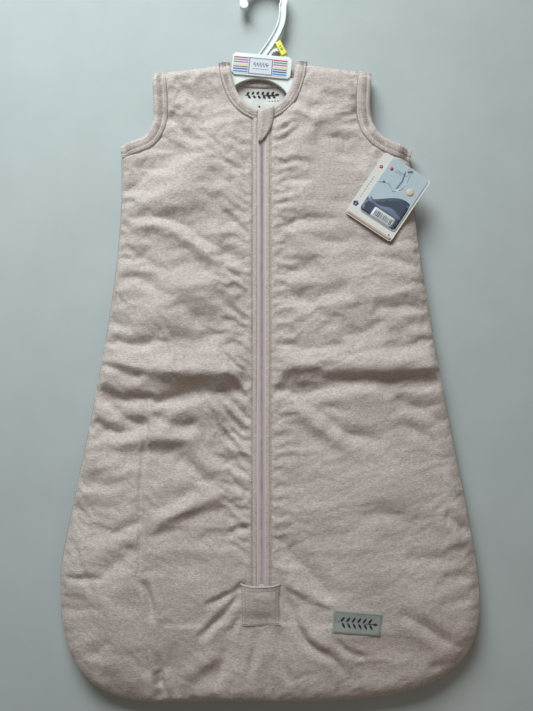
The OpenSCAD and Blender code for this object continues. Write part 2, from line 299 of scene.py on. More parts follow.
# ------------------------------------------------------------------ making objects
def new_object(name, V, F, mats, rest=None, smooth_shade=True, normals=None, face_mats=None, weld=False):
    """V in millimetres. rest is kept on the points for the materials, in metres."""
    me = bpy.data.meshes.new(name)
    V = np.asarray(V, float)
    me.from_pydata((V * MM).tolist(), [], [tuple(int(i) for i in f) for f in F])
    r = V if rest is None else np.asarray(rest, float)
    if r.shape[1] == 2:
        r = np.concatenate([r, np.zeros((len(r), 1))], axis=1)
    at = me.attributes.new("rest", "FLOAT_VECTOR", "POINT")
    at.data.foreach_set("vector", (r * MM).astype(np.float32).ravel())
    for m in mats if isinstance(mats, (list, tuple)) else [mats]:
        me.materials.append(m)
    if face_mats is not None:
        me.polygons.foreach_set("material_index", np.asarray(face_mats, np.int32))
    me.polygons.foreach_set("use_smooth", [bool(smooth_shade)] * len(me.polygons))
    me.update()
    if normals is not None:
        me.normals_split_custom_set_from_vertices(np.asarray(normals, float).tolist())
    o = bpy.data.objects.new(name, me)
    bpy.context.scene.collection.objects.link(o)
    if weld:
        bm = bmesh.new()
        bm.from_mesh(me)
        bmesh.ops.remove_doubles(bm, verts=bm.verts, dist=1e-6)
        bmesh.ops.recalc_face_normals(bm, faces=bm.faces)
        bm.to_mesh(me)
        bm.free()
    return o


def vertex_normals(V, F):
    V, F = np.asarray(V, float), np.asarray(F)
    n = np.cross(V[F[:, 1]] - V[F[:, 0]], V[F[:, 2]] - V[F[:, 0]])
    out = np.zeros_like(V)
    for k in range(3):
        np.add.at(out, F[:, k], n)
    return out / np.maximum(np.linalg.norm(out, axis=1), 1e-12)[:, None]


def grid_faces(m, n, wrap_m=False, wrap_n=False, base=0):
    out = []
    for i in range(m if wrap_m else m - 1):
        for j in range(n if wrap_n else n - 1):
            a = i * n + j
            b = i * n + (j + 1) % n
            c = ((i + 1) % m) * n + (j + 1) % n
            d = ((i + 1) % m) * n + j
            out.append((base + a, base + b, base + c, base + d))
    return out


def loft(name, R, mat, closed=True, caps=True, rest=None, **k):
    """R is rows of points, (m rings along, n points round each, 3). closed joins each ring round."""
    R = np.asarray(R, float)
    m, n = R.shape[:2]
    V = R.reshape(-1, 3)
    F = grid_faces(m, n, wrap_n=closed)
    if closed and caps:
        F.append(tuple(range(n - 1, -1, -1)))
        F.append(tuple((m - 1) * n + i for i in range(n)))
    o = new_object(name, V, F, mat, rest=None if rest is None else np.asarray(rest, float).reshape(-1, 3), **k)
    if closed:
        bm = bmesh.new()
        bm.from_mesh(o.data)
        bmesh.ops.recalc_face_normals(bm, faces=bm.faces)
        bm.to_mesh(o.data)
        bm.free()
    return o


def modifier(o, kind, **k):
    m = o.modifiers.new(kind.lower(), kind)
    for a, b in k.items():
        setattr(m, a, b)
    return m


def join(o, where):
    """Attach a piece: root or a body name; for L or R the transform is only baked in."""
    if where == "L":
        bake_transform(o)
    elif where == "R":
        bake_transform(o)
    else:
        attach(o, where)
    return o


# ------------------------------------------------------------------ materials
class Mat:
    def __init__(self, name):
        self.m = bpy.data.materials.new(name)
        self.m.use_nodes = True
        self.t = self.m.node_tree
        self.t.nodes.clear()
        self.out = self.t.nodes.new("ShaderNodeOutputMaterial")
        self.b = self.t.nodes.new("ShaderNodeBsdfPrincipled")
        self.t.links.new(self.b.outputs[0], self.out.inputs["Surface"])

    def set(self, **k):
        names = {"rough": "Roughness", "metal": "Metallic", "sheen": "Sheen Weight", "sheen_rough": "Sheen Roughness",
                 "sheen_tint": "Sheen Tint", "ior": "IOR", "coat": "Coat Weight", "coat_rough": "Coat Roughness",
                 "spec": "Specular IOR Level", "trans": "Transmission Weight", "sss": "Subsurface Weight",
                 "sss_radius": "Subsurface Radius", "sss_scale": "Subsurface Scale", "color": "Base Color"}
        for a, v in k.items():
            if a in ("color", "sheen_tint") and len(v) == 3:
                v = (*v, 1.0)
            self.b.inputs[names[a]].default_value = v
        return self

    def node(self, kind, **k):
        n = self.t.nodes.new("ShaderNode" + kind)
        for a, v in k.items():
            setattr(n, a, v)
        return n

    def link(self, a, b):
        self.t.links.new(a, b)

    def rest(self, scale=(1, 1, 1), turn=0.0):
        a = self.node("Attribute", attribute_name="rest")
        m = self.node("Mapping")
        m.inputs["Scale"].default_value = scale
        m.inputs["Rotation"].default_value = (0, 0, turn)
        self.link(a.outputs["Vector"], m.inputs["Vector"])
        return m.outputs[0]

    def place(self, scale=(1, 1, 1)):
        a = self.node("TexCoord")
        m = self.node("Mapping")
        m.inputs["Scale"].default_value = scale
        self.link(a.outputs["Object"], m.inputs["Vector"])
        return m.outputs[0]

    def noise(self, vec, scale=1.0, detail=2.0, rough=0.5, distort=0.0):
        n = self.node("TexNoise")
        n.inputs["Scale"].default_value = scale
        n.inputs["Detail"].default_value = detail
        n.inputs["Roughness"].default_value = rough
        n.inputs["Distortion"].default_value = distort
        self.link(vec, n.inputs["Vector"])
        return n.outputs[0]

    def ramp(self, fac, stops):
        r = self.node("ValToRGB")
        e = r.color_ramp.elements
        while len(e) < len(stops):
            e.new(0.5)
        for s, (p, c) in zip(e, stops):
            s.position = p
            s.color = (*c, 1.0) if len(c) == 3 else c
        self.link(fac, r.inputs[0])
        return r.outputs[0]

    def grey(self, fac, lo, hi, a=0.0, b=1.0):
        r = self.node("MapRange")
        r.inputs["From Min"].default_value = lo
        r.inputs["From Max"].default_value = hi
        r.inputs["To Min"].default_value = a
        r.inputs["To Max"].default_value = b
        self.link(fac, r.inputs["Value"])
        return r.outputs[0]

    def mix(self, fac, a, b, how="MIX"):
        m = self.node("Mix", data_type="RGBA", blend_type=how)
        for s, v in ((m.inputs[0], fac), (m.inputs[6], a), (m.inputs[7], b)):
            if isinstance(v, (int, float)):
                s.default_value = v
            elif isinstance(v, tuple):
                s.default_value = (*v, 1.0) if len(v) == 3 else v
            else:
                self.link(v, s)
        return m.outputs[2]

    def math(self, how, a, b=None):
        m = self.node("Math", operation=how)
        for s, v in ((m.inputs[0], a), (m.inputs[1], b)):
            if v is None:
                continue
            if isinstance(v, (int, float)):
                s.default_value = v
            else:
                self.link(v, s)
        return m.outputs[0]

    def color(self, c):
        self.link(c, self.b.inputs["Base Color"])
        return self

    def rough(self, c):
        self.link(c, self.b.inputs["Roughness"])
        return self

    def bump(self, *layers):
        """layers are (height, strength, distance in metres)."""
        last = None
        for h, s, d in layers:
            n = self.node("Bump")
            n.inputs["Strength"].default_value = s
            n.inputs["Distance"].default_value = d
            self.link(h, n.inputs["Height"])
            if last is not None:
                self.link(last, n.inputs["Normal"])
            last = n.outputs[0]
        self.link(last, self.b.inputs["Normal"])
        return self


def lin(r, g, b):
    f = lambda c: (c / 255 / 12.92) if c / 255 <= 0.04045 else ((c / 255 + 0.055) / 1.055) ** 2.4
    return (f(r), f(g), f(b))


def jersey(name, base, dark, light, turn=0.0, streak=1.0, sheen=0.25, wale=0.0009, bump=1.0):
    """Heather knit: short fibres along the courses, wale ribs and a soft pile."""
    m = Mat(name)
    fibre = m.noise(m.rest((330, 980, 400), turn), 1.0, 3.0, 0.65, 0.8)
    band = m.noise(m.rest((60, 420, 60), turn), 1.0, 2.0, 0.5, 0.6)
    cloud = m.noise(m.rest((11, 11, 11)), 1.0, 2.0)
    speck = m.noise(m.rest((700, 1500, 700), turn), 1.0, 1.0)
    c = m.mix(m.grey(fibre, 0.36, 0.64), dark, light)
    c = m.mix(0.36, c, base)
    c = m.mix(m.grey(band, 0.38, 0.66, 0.0, 0.13 * streak), c, dark)
    c = m.mix(m.grey(speck, 0.56, 0.68, 0.0, 0.36), c, light)
    c = m.mix(m.grey(speck, 0.30, 0.42, 0.30, 0.0), c, dark)
    c = m.mix(m.grey(cloud, 0.35, 0.65, 0.0, 0.10), c, dark)
    m.color(c)
    m.set(rough=0.94, sheen=sheen, sheen_rough=0.45, spec=0.25)
    rib = m.node("TexWave", wave_type="BANDS", bands_direction="X", wave_profile="SIN")
    rib.inputs["Scale"].default_value = 1.0
    rib.inputs["Distortion"].default_value = 1.6
    rib.inputs["Detail"].default_value = 1.0
    rib.inputs["Detail Scale"].default_value = 1.0
    m.link(m.rest((0.314 / wale, 0.314 / wale * 0.35, 0), turn), rib.inputs["Vector"])
    pile = m.noise(m.rest((900, 1300, 900), turn), 1.0, 3.0, 0.6)
    soft = m.noise(m.rest((150, 230, 150), turn), 1.0, 2.0, 0.5, 0.4)
    small = m.noise(m.rest((330, 460, 330), turn), 1.0, 2.0, 0.5, 0.3)
    m.bump((soft, 0.5 * bump, 0.0006), (small, 0.7 * bump, 0.0004), (rib.outputs["Color"], 0.25 * bump, 0.0002), (pile, 0.8 * bump, 0.00034))
    return m.m


M_OUTER = jersey("outer_jersey", lin(199, 188, 181), lin(153, 140, 137), lin(227, 218, 211))
M_BAND = jersey("binding_jersey", lin(202, 191, 184), lin(161, 148, 145), lin(223, 215, 208), sheen=0.2, wale=0.0011)
M_LINING = jersey("lining_jersey", lin(211, 213, 208), lin(193, 194, 188), lin(223, 225, 221), streak=0.5)
M_LINING_BACK = M_LINING


def thread(name, a, b):
    m = Mat(name)
    tw = m.noise(m.place((2600, 2600, 2600)), 1.0, 2.0)
    m.color(m.mix(m.grey(tw, 0.35, 0.65), a, b))
    m.set(rough=0.72, sheen=0.2, sheen_rough=0.4, spec=0.3)
    m.bump((tw, 0.5, 0.00012))
    return m.m


M_THREAD = thread("thread_mauve", lin(126, 110, 112), lin(152, 136, 136))
M_THREAD_MID = thread("thread_mid", lin(138, 124, 124), lin(168, 154, 153))
M_THREAD_PALE = thread("thread_pale", lin(186, 176, 170), lin(208, 199, 193))
# painted shade: a darker mauve than the thread, used for thin cords that stand in for the shade in the seam grooves
M_SEAM_SHADE = thread("seam_shade", lin(118, 102, 104), lin(146, 129, 131))


def woven(name, a, b, pitch=0.0006, rough=0.85, direction="X", amount=0.6, sheen=0.1):
    m = Mat(name)
    w1 = m.node("TexWave", wave_type="BANDS", bands_direction="X")
    w2 = m.node("TexWave", wave_type="BANDS", bands_direction="Y")
    for w in (w1, w2):
        w.inputs["Scale"].default_value = 1.0
        w.inputs["Distortion"].default_value = 0.6
        w.inputs["Detail"].default_value = 1.0
        m.link(m.rest((0.314 / pitch, 0.314 / pitch, 0)), w.inputs["Vector"])
    fleck = m.noise(m.rest((900, 900, 900)), 1.0, 2.0)
    wide = m.noise(m.rest((45, 45, 45)), 1.0, 2.0)
    h = m.mix(0.5 if direction == "XY" else 0.15, w1.outputs["Color"], w2.outputs["Color"])
    c = m.mix(m.grey(h, 0.1, 0.9, 0.0, amount), b, a)
    c = m.mix(m.grey(fleck, 0.4, 0.7, 0.0, 0.35), c, b)
    c = m.mix(m.grey(wide, 0.35, 0.65, 0.0, 0.2), c, b)
    m.color(c)
    m.set(rough=rough, sheen=sheen, sheen_rough=0.4, spec=0.3)
    m.bump((h, 0.5, 0.00022), (fleck, 0.3, 0.00012))
    return m.m


M_TAPE = woven("zip_tape_weave", lin(226, 213, 214), lin(196, 182, 184), pitch=0.0011, amount=0.8)
M_LABEL = woven("label_weave", lin(180, 186, 183), lin(148, 154, 151), pitch=0.0006, direction="XY", amount=0.6)
M_LABEL_DARK = woven("label_dark_weave", lin(70, 74, 74), lin(48, 52, 54), pitch=0.0006, direction="XY")
M_CARE = woven("care_satin", lin(232, 231, 226), lin(206, 205, 200), pitch=0.0004, rough=0.5)
M_PRINT = woven("printed_mark", lin(74, 72, 74), lin(52, 50, 54), pitch=0.0009, direction="XY", rough=0.9)


def plastic(name, a, b, rough=0.35, coat=0.0, trans=0.0, sss=0.0, spec=0.5, ior=1.5, bump=0.25):
    m = Mat(name)
    big = m.noise(m.place((60, 60, 60)), 1.0, 3.0, 0.55)
    fine = m.noise(m.place((1500, 1500, 1500)), 1.0, 2.0)
    m.color(m.mix(m.grey(big, 0.35, 0.65), a, b))
    m.rough(m.grey(big, 0.3, 0.7, rough * 0.8, min(1.0, rough * 1.25)))
    m.set(coat=coat, spec=spec, ior=ior)
    if trans:
        m.set(trans=trans)
    if sss:
        m.set(sss=sss, sss_radius=(0.01, 0.01, 0.01), sss_scale=0.4)
    m.bump((fine, bump, 0.00003), (big, 0.15, 0.0002))
    return m.m


M_HANGER = plastic("hanger_translucent", lin(240, 244, 243), lin(230, 236, 235), rough=0.26, trans=0.14, sss=0.4, ior=1.46)
M_COIL = plastic("coil_nylon", lin(214, 201, 203), lin(192, 178, 181), rough=0.5)
M_YELLOW = plastic("marker_yellow", lin(232, 226, 62), lin(220, 213, 48), rough=0.38, sss=0.1)
M_DARK = plastic("print_dark", lin(52, 52, 56), lin(40, 40, 44), rough=0.5)
M_PIN = plastic("tag_filament", lin(232, 233, 232), lin(214, 216, 215), rough=0.3, trans=0.4, ior=1.5)


def metal(name, a, b, rough=0.34):
    m = Mat(name)
    n = m.noise(m.place((260, 260, 260)), 1.0, 4.0, 0.6)
    s = m.noise(m.place((2200, 260, 260)), 1.0, 2.0)
    m.color(m.mix(m.grey(n, 0.35, 0.65), a, b))
    m.rough(m.grey(s, 0.3, 0.7, rough * 0.75, rough * 1.3))
    m.set(metal=0.85, spec=0.5)
    m.bump((s, 0.15, 0.00003))
    return m.m


M_METAL = metal("slider_metal", lin(206, 198, 196), lin(178, 168, 168))
M_PULL = plastic("pull_enamel", lin(240, 231, 232), lin(228, 217, 219), rough=0.3, coat=0.4)


def paper(name, a, b, rough=0.55, coat=0.0):
    m = Mat(name)
    f = m.noise(m.rest((420, 420, 420)), 1.0, 4.0, 0.6)
    w = m.noise(m.rest((26, 26, 26)), 1.0, 2.0)
    c = m.mix(m.grey(f, 0.3, 0.7, 0.0, 0.5), a, b)
    c = m.mix(m.grey(w, 0.35, 0.65, 0.0, 0.3), c, b)
    m.color(c)
    m.set(rough=rough, coat=coat, spec=0.4)
    m.bump((f, 0.25, 0.00006))
    return m.m


M_CARD = paper("card_cream", lin(224, 223, 218), lin(212, 211, 206))
M_CARD_FRONT = paper("card_front", lin(188, 203, 212), lin(170, 187, 198), rough=0.38, coat=0.2)
M_WHITE = paper("paper_white", lin(206, 210, 216), lin(196, 201, 208), rough=0.45)
M_TAN = paper("print_tan", lin(196, 172, 158), lin(184, 160, 146))
M_RED = paper("print_red", lin(196, 62, 66), lin(180, 50, 56))
M_SKY = paper("print_pale_blue", lin(178, 192, 200), lin(160, 176, 188))
M_SAND = paper("print_sand", lin(208, 196, 178), lin(196, 182, 162))
M_LEAF = paper("print_leaf", lin(140, 158, 132), lin(124, 142, 118))
M_INK = paper("print_ink", lin(58, 58, 62), lin(46, 46, 50))
STRIPES = [("red", (206, 52, 60)), ("green", (60, 160, 92)), ("magenta", (204, 70, 150)), ("yellow", (226, 214, 70)),
           ("violet", (98, 96, 186)), ("brown", (70, 56, 60)), ("blue", (58, 140, 214))]
M_STRIPES = [paper("stripe_" + n, lin(*c), lin(*[int(v * 0.93) for v in c])) for n, c in STRIPES]
M_FRAME = paper("print_slate", lin(112, 124, 148), lin(98, 110, 134))
M_NAVY = paper("print_dark_slate", lin(76, 86, 102), lin(60, 69, 84), rough=0.4)
M_VIOLET = paper("print_violet", lin(96, 92, 150), lin(84, 80, 138))


def floor_material():
    m = Mat("board")
    n = m.noise(m.place((14, 14, 14)), 1.0, 4.0, 0.6)
    f = m.noise(m.place((600, 600, 600)), 1.0, 2.0)
    m.color(m.mix(m.grey(n, 0.35, 0.65), lin(184, 192, 193), lin(179, 187, 188)))
    m.set(rough=0.75, spec=0.3)
    m.bump((f, 0.1, 0.00006))
    return m.m


fl = bpy.data.meshes.new("floor")
fl.from_pydata([(-3, -3, 0), (3, -3, 0), (3, 3, 0), (-3, 3, 0)], [], [(0, 1, 2, 3)])
fl.materials.append(floor_material())
floor = bpy.data.objects.new("floor", fl)
floor.location.z = -0.0002
bpy.context.scene.collection.objects.link(floor)


# ------------------------------------------------------------------ shape of the front
Z_SEAM = 12.4
Z_FLAT = 24.9
SIDE_LOOP_L = np.concatenate([SIDE_L, HEM_L[1:], [(ZIP_X, -386.0)]])
SIDE_LOOP_R = np.concatenate([SIDE_R, HEM_R[1:], [(ZIP_X, -386.0)]])
SHOULDER_L = np.array([NS_L[0], SEAM_ARM_L[0]])
SHOULDER_R = np.array([NS_R[0], SEAM_ARM_R[0]])


def stroke(P, line, amp, width, kind="valley", taper=0.3, skew=1.0):
    """One crease: a sharp valley, a soft ridge, or a fold with a steep side."""
    d, t = distance(P, np.asarray(line, float))
    w = smooth(t / taper) * smooth((1 - t) / taper)
    w = w * (1 + 0.22 * np.sin(11.0 * t + amp * 5.0) + 0.12 * np.sin(23.0 * t + width))
    if kind == "valley":
        f = -np.exp(-(np.sqrt(d * d + (0.35 * width) ** 2) - 0.35 * width) / width)
        f += 0.35 * np.exp(-((np.abs(d) - 2.2 * width) / (1.3 * width)) ** 2)
    elif kind == "ridge":
        f = np.exp(-(d / width) ** 2)
    else:
        s = d * skew
        f = np.where(s > 0, np.exp(-(s / (1.45 * width)) ** 2), np.exp(-(s / (0.95 * width)) ** 2))
        f = f - 0.3 * np.exp(-((s + 1.6 * width) / (0.9 * width)) ** 2)
    return amp * w * f


def curve3(a, b, bend=0.0, n=8):
    """A slightly bowed line from a to b."""
    a, b = np.array(a, float), np.array(b, float)
    t = np.linspace(0, 1, n)[:, None]
    d = b - a
    nrm = np.array([-d[1], d[0]])
    return a + t * d + nrm * bend * np.sin(PI * t)


SETTLE = dict(frames=14, grow=0.025, pressure=1.2, bend=0.45)
CREASES = []


def cr(points, amp, width, kind="valley", taper=0.25, skew=1.0):
    """A crease along a line that is rounded off at its corners."""
    p = np.array(points, float)
    for _ in range(2):
        q = np.empty((2 * len(p), 2))
        q[0], q[-1] = p[0], p[-1]
        q[1:-1:2] = 0.75 * p[:-1] + 0.25 * p[1:]
        q[2:-1:2] = 0.25 * p[:-1] + 0.75 * p[1:]
        p = q
    CREASES.append((p, amp, width, kind, taper, skew))


# left chest
cr([(-159, 114), (-136, 116), (-102, 114), (-75, 96), (-48, 77), (-27, 62)], 3, 6.5, "valley", 0.18)
cr([(-155, 108), (-117, 107), (-89, 94), (-55, 69), (-36, 54), (-25, 44)], 1.9, 6.5, "fold", 0.2)
cr([(-160, 143), (-142, 152), (-129, 167)], 2.1, 4.5, "valley")
cr([(-157, 137), (-143, 130), (-135, 121)], 1.8, 3.2, "valley")
cr([(-112, 231), (-105, 224), (-97, 214), (-80, 192)], 2.4, 3.4, "valley")
cr([(-110, 236), (-93, 229)], 1.4, 3, "valley")
cr([(-115, 188), (-98, 185), (-71, 186)], 1.5, 5.5, "valley")
cr([(-147, 172), (-119, 168), (-98, 171)], 1.4, 5, "valley")
cr([(-105, 268), (-92, 253), (-78, 242)], 1.3, 4, "valley")
cr([(-92, 242), (-80, 232), (-65, 229)], 1.1, 4, "valley")
cr([(-80, 148), (-62, 134), (-45, 117), (-27, 98)], 1.2, 4.5, "valley")
cr([(-72, 169), (-52, 158), (-31, 141)], 1.1, 4, "valley")
cr([(-50, 194), (-33, 182), (-19, 167)], 1, 3.4, "valley")
cr([(-161, 114), (-146, 101)], 1.7, 2.6, "valley")
cr([(-160, 96), (-143, 77)], 1.2, 2.6, "valley")
cr([(-135, 108), (-125, 86)], 1, 2.2, "valley")
# left, above the middle
cr([(-163, 50), (-143, 53), (-127, 47), (-113, 32)], 2.3, 5, "valley", 0.2)
cr([(-108, 33), (-85, 17), (-69, -3), (-49, -16)], 2.2, 8, "valley")
cr([(-66, 80), (-58, 71), (-47, 60), (-36, 55), (-25, 45)], 1.5, 4, "valley", 0.2)
cr([(-58, 83), (-36, 72), (-21, 56)], 1.3, 3, "valley")
cr([(-66, 42), (-47, 28), (-34, 8), (-24, -20)], 1.9, 5.5, "valley")
cr([(-171, 11), (-157, 1), (-139, 0)], 2, 5, "valley")
cr([(-174, -11), (-156, -16), (-130, -20), (-114, -10)], 2.4, 4, "valley")
cr([(-152, 82), (-135, 72), (-114, 59)], 1.3, 5, "valley")
cr([(-113, -1), (-105, -14), (-101, -28), (-97, -43)], 1.1, 2.4, "fold", 0.25, -1)
# left, the folds across the middle
cr([(-175, -38), (-136, -40), (-95, -44), (-58, -42), (-22, -52)], 3.9, 10.5, "fold", 0.14)
cr([(-177, -38), (-156, -44), (-140, -52), (-123, -49)], 2.2, 4, "valley")
cr([(-185, -64), (-155, -77), (-133, -75), (-112, -78), (-94, -72), (-72, -67), (-51, -69), (-22, -64)], 4.6, 8, "valley", 0.14)
cr([(-181, -70), (-158, -89), (-137, -104), (-123, -96)], 3.4, 6.5, "valley", 0.2)
cr([(-128, -87), (-106, -101), (-88, -105), (-73, -96)], 3.4, 7.5, "valley")
cr([(-187, -93), (-176, -105), (-157, -112), (-139, -107)], 2.6, 4.5, "valley", 0.2)
cr([(-173, -117), (-141, -123), (-110, -114), (-81, -113), (-67, -121)], 2, 9, "fold")
cr([(-132, -70), (-128, -94), (-129, -120), (-134, -162), (-132, -210), (-134, -256)], 2.5, 2.1, "valley", 0.12)
cr([(-74, -64), (-59, -81), (-49, -106), (-35, -120), (-18, -140)], 2, 2.8, "fold", 0.16, -1)
cr([(-43, -95), (-27, -111), (-18, -124)], 1.5, 2.6, "valley")
cr([(-37, -74), (-27, -91), (-18, -101)], 1.2, 2.6, "valley")
cr([(-78, -109), (-66, -129), (-51, -137), (-33, -140), (-18, -151)], 2.5, 5.5, "valley", 0.2)
cr([(-84, -133), (-70, -160), (-56, -167)], 1.7, 4.5, "valley")
cr([(-48, -146), (-35, -165), (-20, -180)], 1.7, 3.5, "valley")
cr([(-115, -127), (-92, -140), (-73, -152)], 2, 9, "valley")
# the roll across the middle, right
cr([(-1, -41), (30, -39), (73, -41), (113, -42), (155, -41), (183, -37)], 5.2, 11.5, "fold", 0.1)
cr([(26, -52), (73, -55), (134, -56), (182, -53)], 2.6, 6.5, "valley", 0.16)
cr([(-1, -65), (32, -70), (53, -65), (69, -58)], 2.6, 5.5, "valley", 0.16)
cr([(1, -56), (26, -57), (47, -54)], 1.4, 4, "fold")
cr([(26, -75), (51, -87), (65, -103), (82, -113), (120, -118)], 2.6, 5.5, "valley", 0.18)
cr([(49, -81), (64, -84), (82, -89)], 1.7, 4, "valley")
cr([(107, -62), (136, -79), (164, -89), (187, -104)], 2.4, 7, "valley", 0.18)
cr([(126, -98), (157, -110), (174, -125)], 1.8, 5.5, "valley")
cr([(179, -153), (198, -174)], 1.6, 2.8, "fold", 0.25, -1)
cr([(-1, -13), (22, -23), (51, -23), (82, -16)], 2, 5, "valley")
cr([(111, -26), (136, -23), (167, -11)], 1.8, 5, "valley")
cr([(20, -80), (61, -111), (84, -123)], 2.6, 9, "fold")
# right, above the middle
cr([(3, 64), (26, 58), (52, 73)], 1.6, 6.5, "valley")
cr([(14, 29), (46, 31), (72, 38), (88, 48)], 2, 7.5, "valley")
cr([(101, 24), (124, 18), (143, 25), (166, 13)], 2.5, 5.5, "valley", 0.2)
cr([(137, 2), (167, 6)], 1.8, 4, "valley")
cr([(70, -8), (95, -8), (120, 9)], 2, 6.5, "valley")
cr([(111, 73), (137, 71), (157, 57)], 1.7, 5, "valley")
# right chest, fanning out from the chin guard
cr([(18, 248), (41, 233), (57, 229)], 2.5, 4.5, "valley", 0.2)
cr([(14, 229), (27, 231), (44, 224)], 1.7, 4, "fold")
cr([(1, 206), (18, 221), (34, 223)], 1.6, 2.8, "fold")
cr([(1, 198), (14, 205), (30, 219)], 1.5, 2.6, "fold")
cr([(16, 262), (31, 271), (48, 275)], 1.5, 3.5, "valley")
cr([(52, 188), (78, 183), (110, 181), (128, 184)], 2.6, 7, "valley")
cr([(0, 183), (31, 181), (73, 178), (115, 178)], 1.6, 4.5, "fold", 0.2)
cr([(3, 155), (34, 158), (49, 154)], 1.4, 3, "valley")
cr([(0, 141), (27, 144)], 1.2, 3, "valley")
cr([(3, 110), (47, 115), (78, 115)], 1.9, 6, "valley")
cr([(86, 265), (92, 245), (94, 221)], 1.4, 3.5, "valley")
cr([(43, 210), (68, 200), (90, 203)], 1.3, 5, "valley")
cr([(33, 137), (62, 131), (85, 137)], 1.2, 5, "valley")
cr([(30, 94), (62, 89), (96, 94)], 1.4, 7, "valley")
# lower left
cr([(-167, -218), (-156, -210), (-138, -202), (-131, -195)], 2, 4.5, "valley")
cr([(-131, -203), (-102, -193), (-74, -180), (-40, -171)], 2.2, 8, "fold", 0.2)
cr([(-124, -191), (-94, -178), (-68, -165)], 1.9, 7, "valley")
cr([(-178, -258), (-161, -246), (-143, -231), (-137, -219)], 2.2, 9, "valley")
cr([(-216, -258), (-186, -259), (-166, -256)], 1.8, 3.2, "valley")
cr([(-205, -219), (-193, -246), (-179, -280)], 1.3, 2.4, "valley")
cr([(-134, -254), (-123, -273), (-117, -327), (-112, -352), (-105, -378)], 3.4, 2.8, "valley", 0.1)
cr([(-120, -290), (-115, -329), (-110, -355), (-101, -377)], 2.2, 3.8, "fold", 0.14, -1)
cr([(-116, -347), (-114, -361), (-114, -383)], 4.2, 4.2, "valley", 0.2)
cr([(-50, -216), (-32, -208), (-17, -206)], 1.5, 3.4, "valley")
cr([(-46, -209), (-30, -202), (-17, -203)], 1.3, 2.6, "fold")
cr([(-44, -170), (-29, -172), (-17, -182)], 1.7, 4, "fold", 0.25, -1)
cr([(-92, -357), (-67, -341), (-50, -329)], 1.8, 8, "fold")
cr([(-186, -339), (-172, -330), (-164, -317)], 1.4, 6, "valley")
# folds that spread from the garage pocket
cr([(-23, -263), (-46, -276), (-70, -285)], 2.6, 2.8, "valley", 0.16)
cr([(-30, -271), (-46, -293), (-62, -306), (-75, -319)], 2.4, 3.2, "valley", 0.16)
cr([(-31, -297), (-42, -316)], 1.6, 2.6, "valley")
cr([(-1, -210), (23, -237), (47, -257), (66, -287)], 2, 7, "valley", 0.2)
cr([(10, -256), (23, -268), (54, -281), (64, -287)], 2, 4.5, "fold", 0.2)
cr([(10, -269), (23, -295), (34, -320), (45, -327), (64, -337), (77, -355)], 2.6, 3.6, "valley", 0.14)
cr([(7, -306), (10, -340), (20, -366)], 2, 4.2, "valley", 0.16)
cr([(-15, -308), (-17, -334), (-24, -363)], 1.5, 3.5, "valley")
cr([(-46, -325), (-50, -347), (-58, -367)], 1.3, 4, "valley")
cr([(27, -286), (37, -311), (60, -331)], 2, 6.5, "fold")
# lower right
cr([(64, -313), (74, -329), (98, -337)], 1.9, 2.6, "valley", 0.2)
cr([(124, -288), (156, -304), (175, -320), (201, -331)], 2.8, 5, "valley", 0.2)
cr([(154, -348), (185, -343)], 1.7, 4, "valley")
cr([(175, -190), (195, -207), (205, -217)], 2.4, 4.5, "valley")
cr([(180, -200), (191, -211), (198, -216)], 1.5, 3, "fold", 0.25, -1)
cr([(173, -225), (200, -219), (210, -225)], 1.5, 5, "fold")
cr([(171, -257), (209, -255)], 1.3, 4, "valley")
cr([(168, -284), (207, -278)], 1.3, 4, "valley")
cr([(130, -239), (163, -236), (188, -241)], 1.2, 5, "valley")
cr([(81, -199), (112, -191), (143, -195)], 1.3, 7, "valley")
# short ripples where the cloth is gathered into the zip
_r = np.random.RandomState(12)
for side, y0, y1, step, amp in ((1, 214, 110, 8.0, 1.5), (1, 106, -20, 12.0, 1.0), (1, -60, -250, 14.0, 0.9),
                                (-1, 200, 60, 13.0, 0.8), (-1, 50, -46, 10.0, 1.2), (-1, -50, -156, 7.5, 1.9), (-1, -160, -250, 12.0, 1.1)):
    y = float(y0)
    while y > y1:
        ln = _r.uniform(16, 40)
        dy = ln * _r.uniform(0.45, 1.2) if side < 0 else _r.uniform(-4, 7)
        x0 = ZIP_X + side * (ZIP_SEAM + 0.5)
        line = curve3((x0, y), (x0 + side * ln, y + dy), _r.uniform(-0.08, 0.08), 5)
        if side < 0:
            cr(line, amp * _r.uniform(0.7, 1.3), _r.uniform(1.9, 2.8), "valley", 0.3)
        else:
            cr(line, amp * _r.uniform(0.6, 1.25), _r.uniform(2.2, 3.6), "fold", 0.34, 1.0 if _r.rand() > 0.4 else -1.0)
        y -= step * _r.uniform(0.7, 1.35)

def edge_gathers(P, loop, seed, pitch, amp, reach, d=None, t=None):
    """Small puckers square to a curved seam."""
    if d is None:
        d, t = distance(P, loop)
    s = t * length_of(loop)
    r = np.random.RandomState(seed)
    f = np.zeros(len(P))
    for k in range(9):
        L = pitch * r.uniform(0.7, 2.2)
        f += np.cos(2 * PI * s / L + r.uniform(0, 2 * PI) + 0.8 * np.sin(s / (9 + 6 * k) + k)) * r.uniform(0.4, 1.0)
    f /= 2.2
    g = 0.5 + 0.5 * np.cos(s / 31.0 + seed) * np.cos(s / 73.0)
    return amp * f * (0.35 + 0.9 * g) * np.exp(-np.abs(d) / reach) * smooth(np.abs(d) / 2.5)


def quiet_area(P):
    """1 where the cloth is crumpled, less where it lies smooth: low on the right and along the hem."""
    a = 0.55 * smooth(P[:, 0] / 40) * smooth((-45 - P[:, 1]) / 60)
    b = 0.45 * smooth((-180 - P[:, 1]) / 80)
    return 1 - np.maximum(a, b)


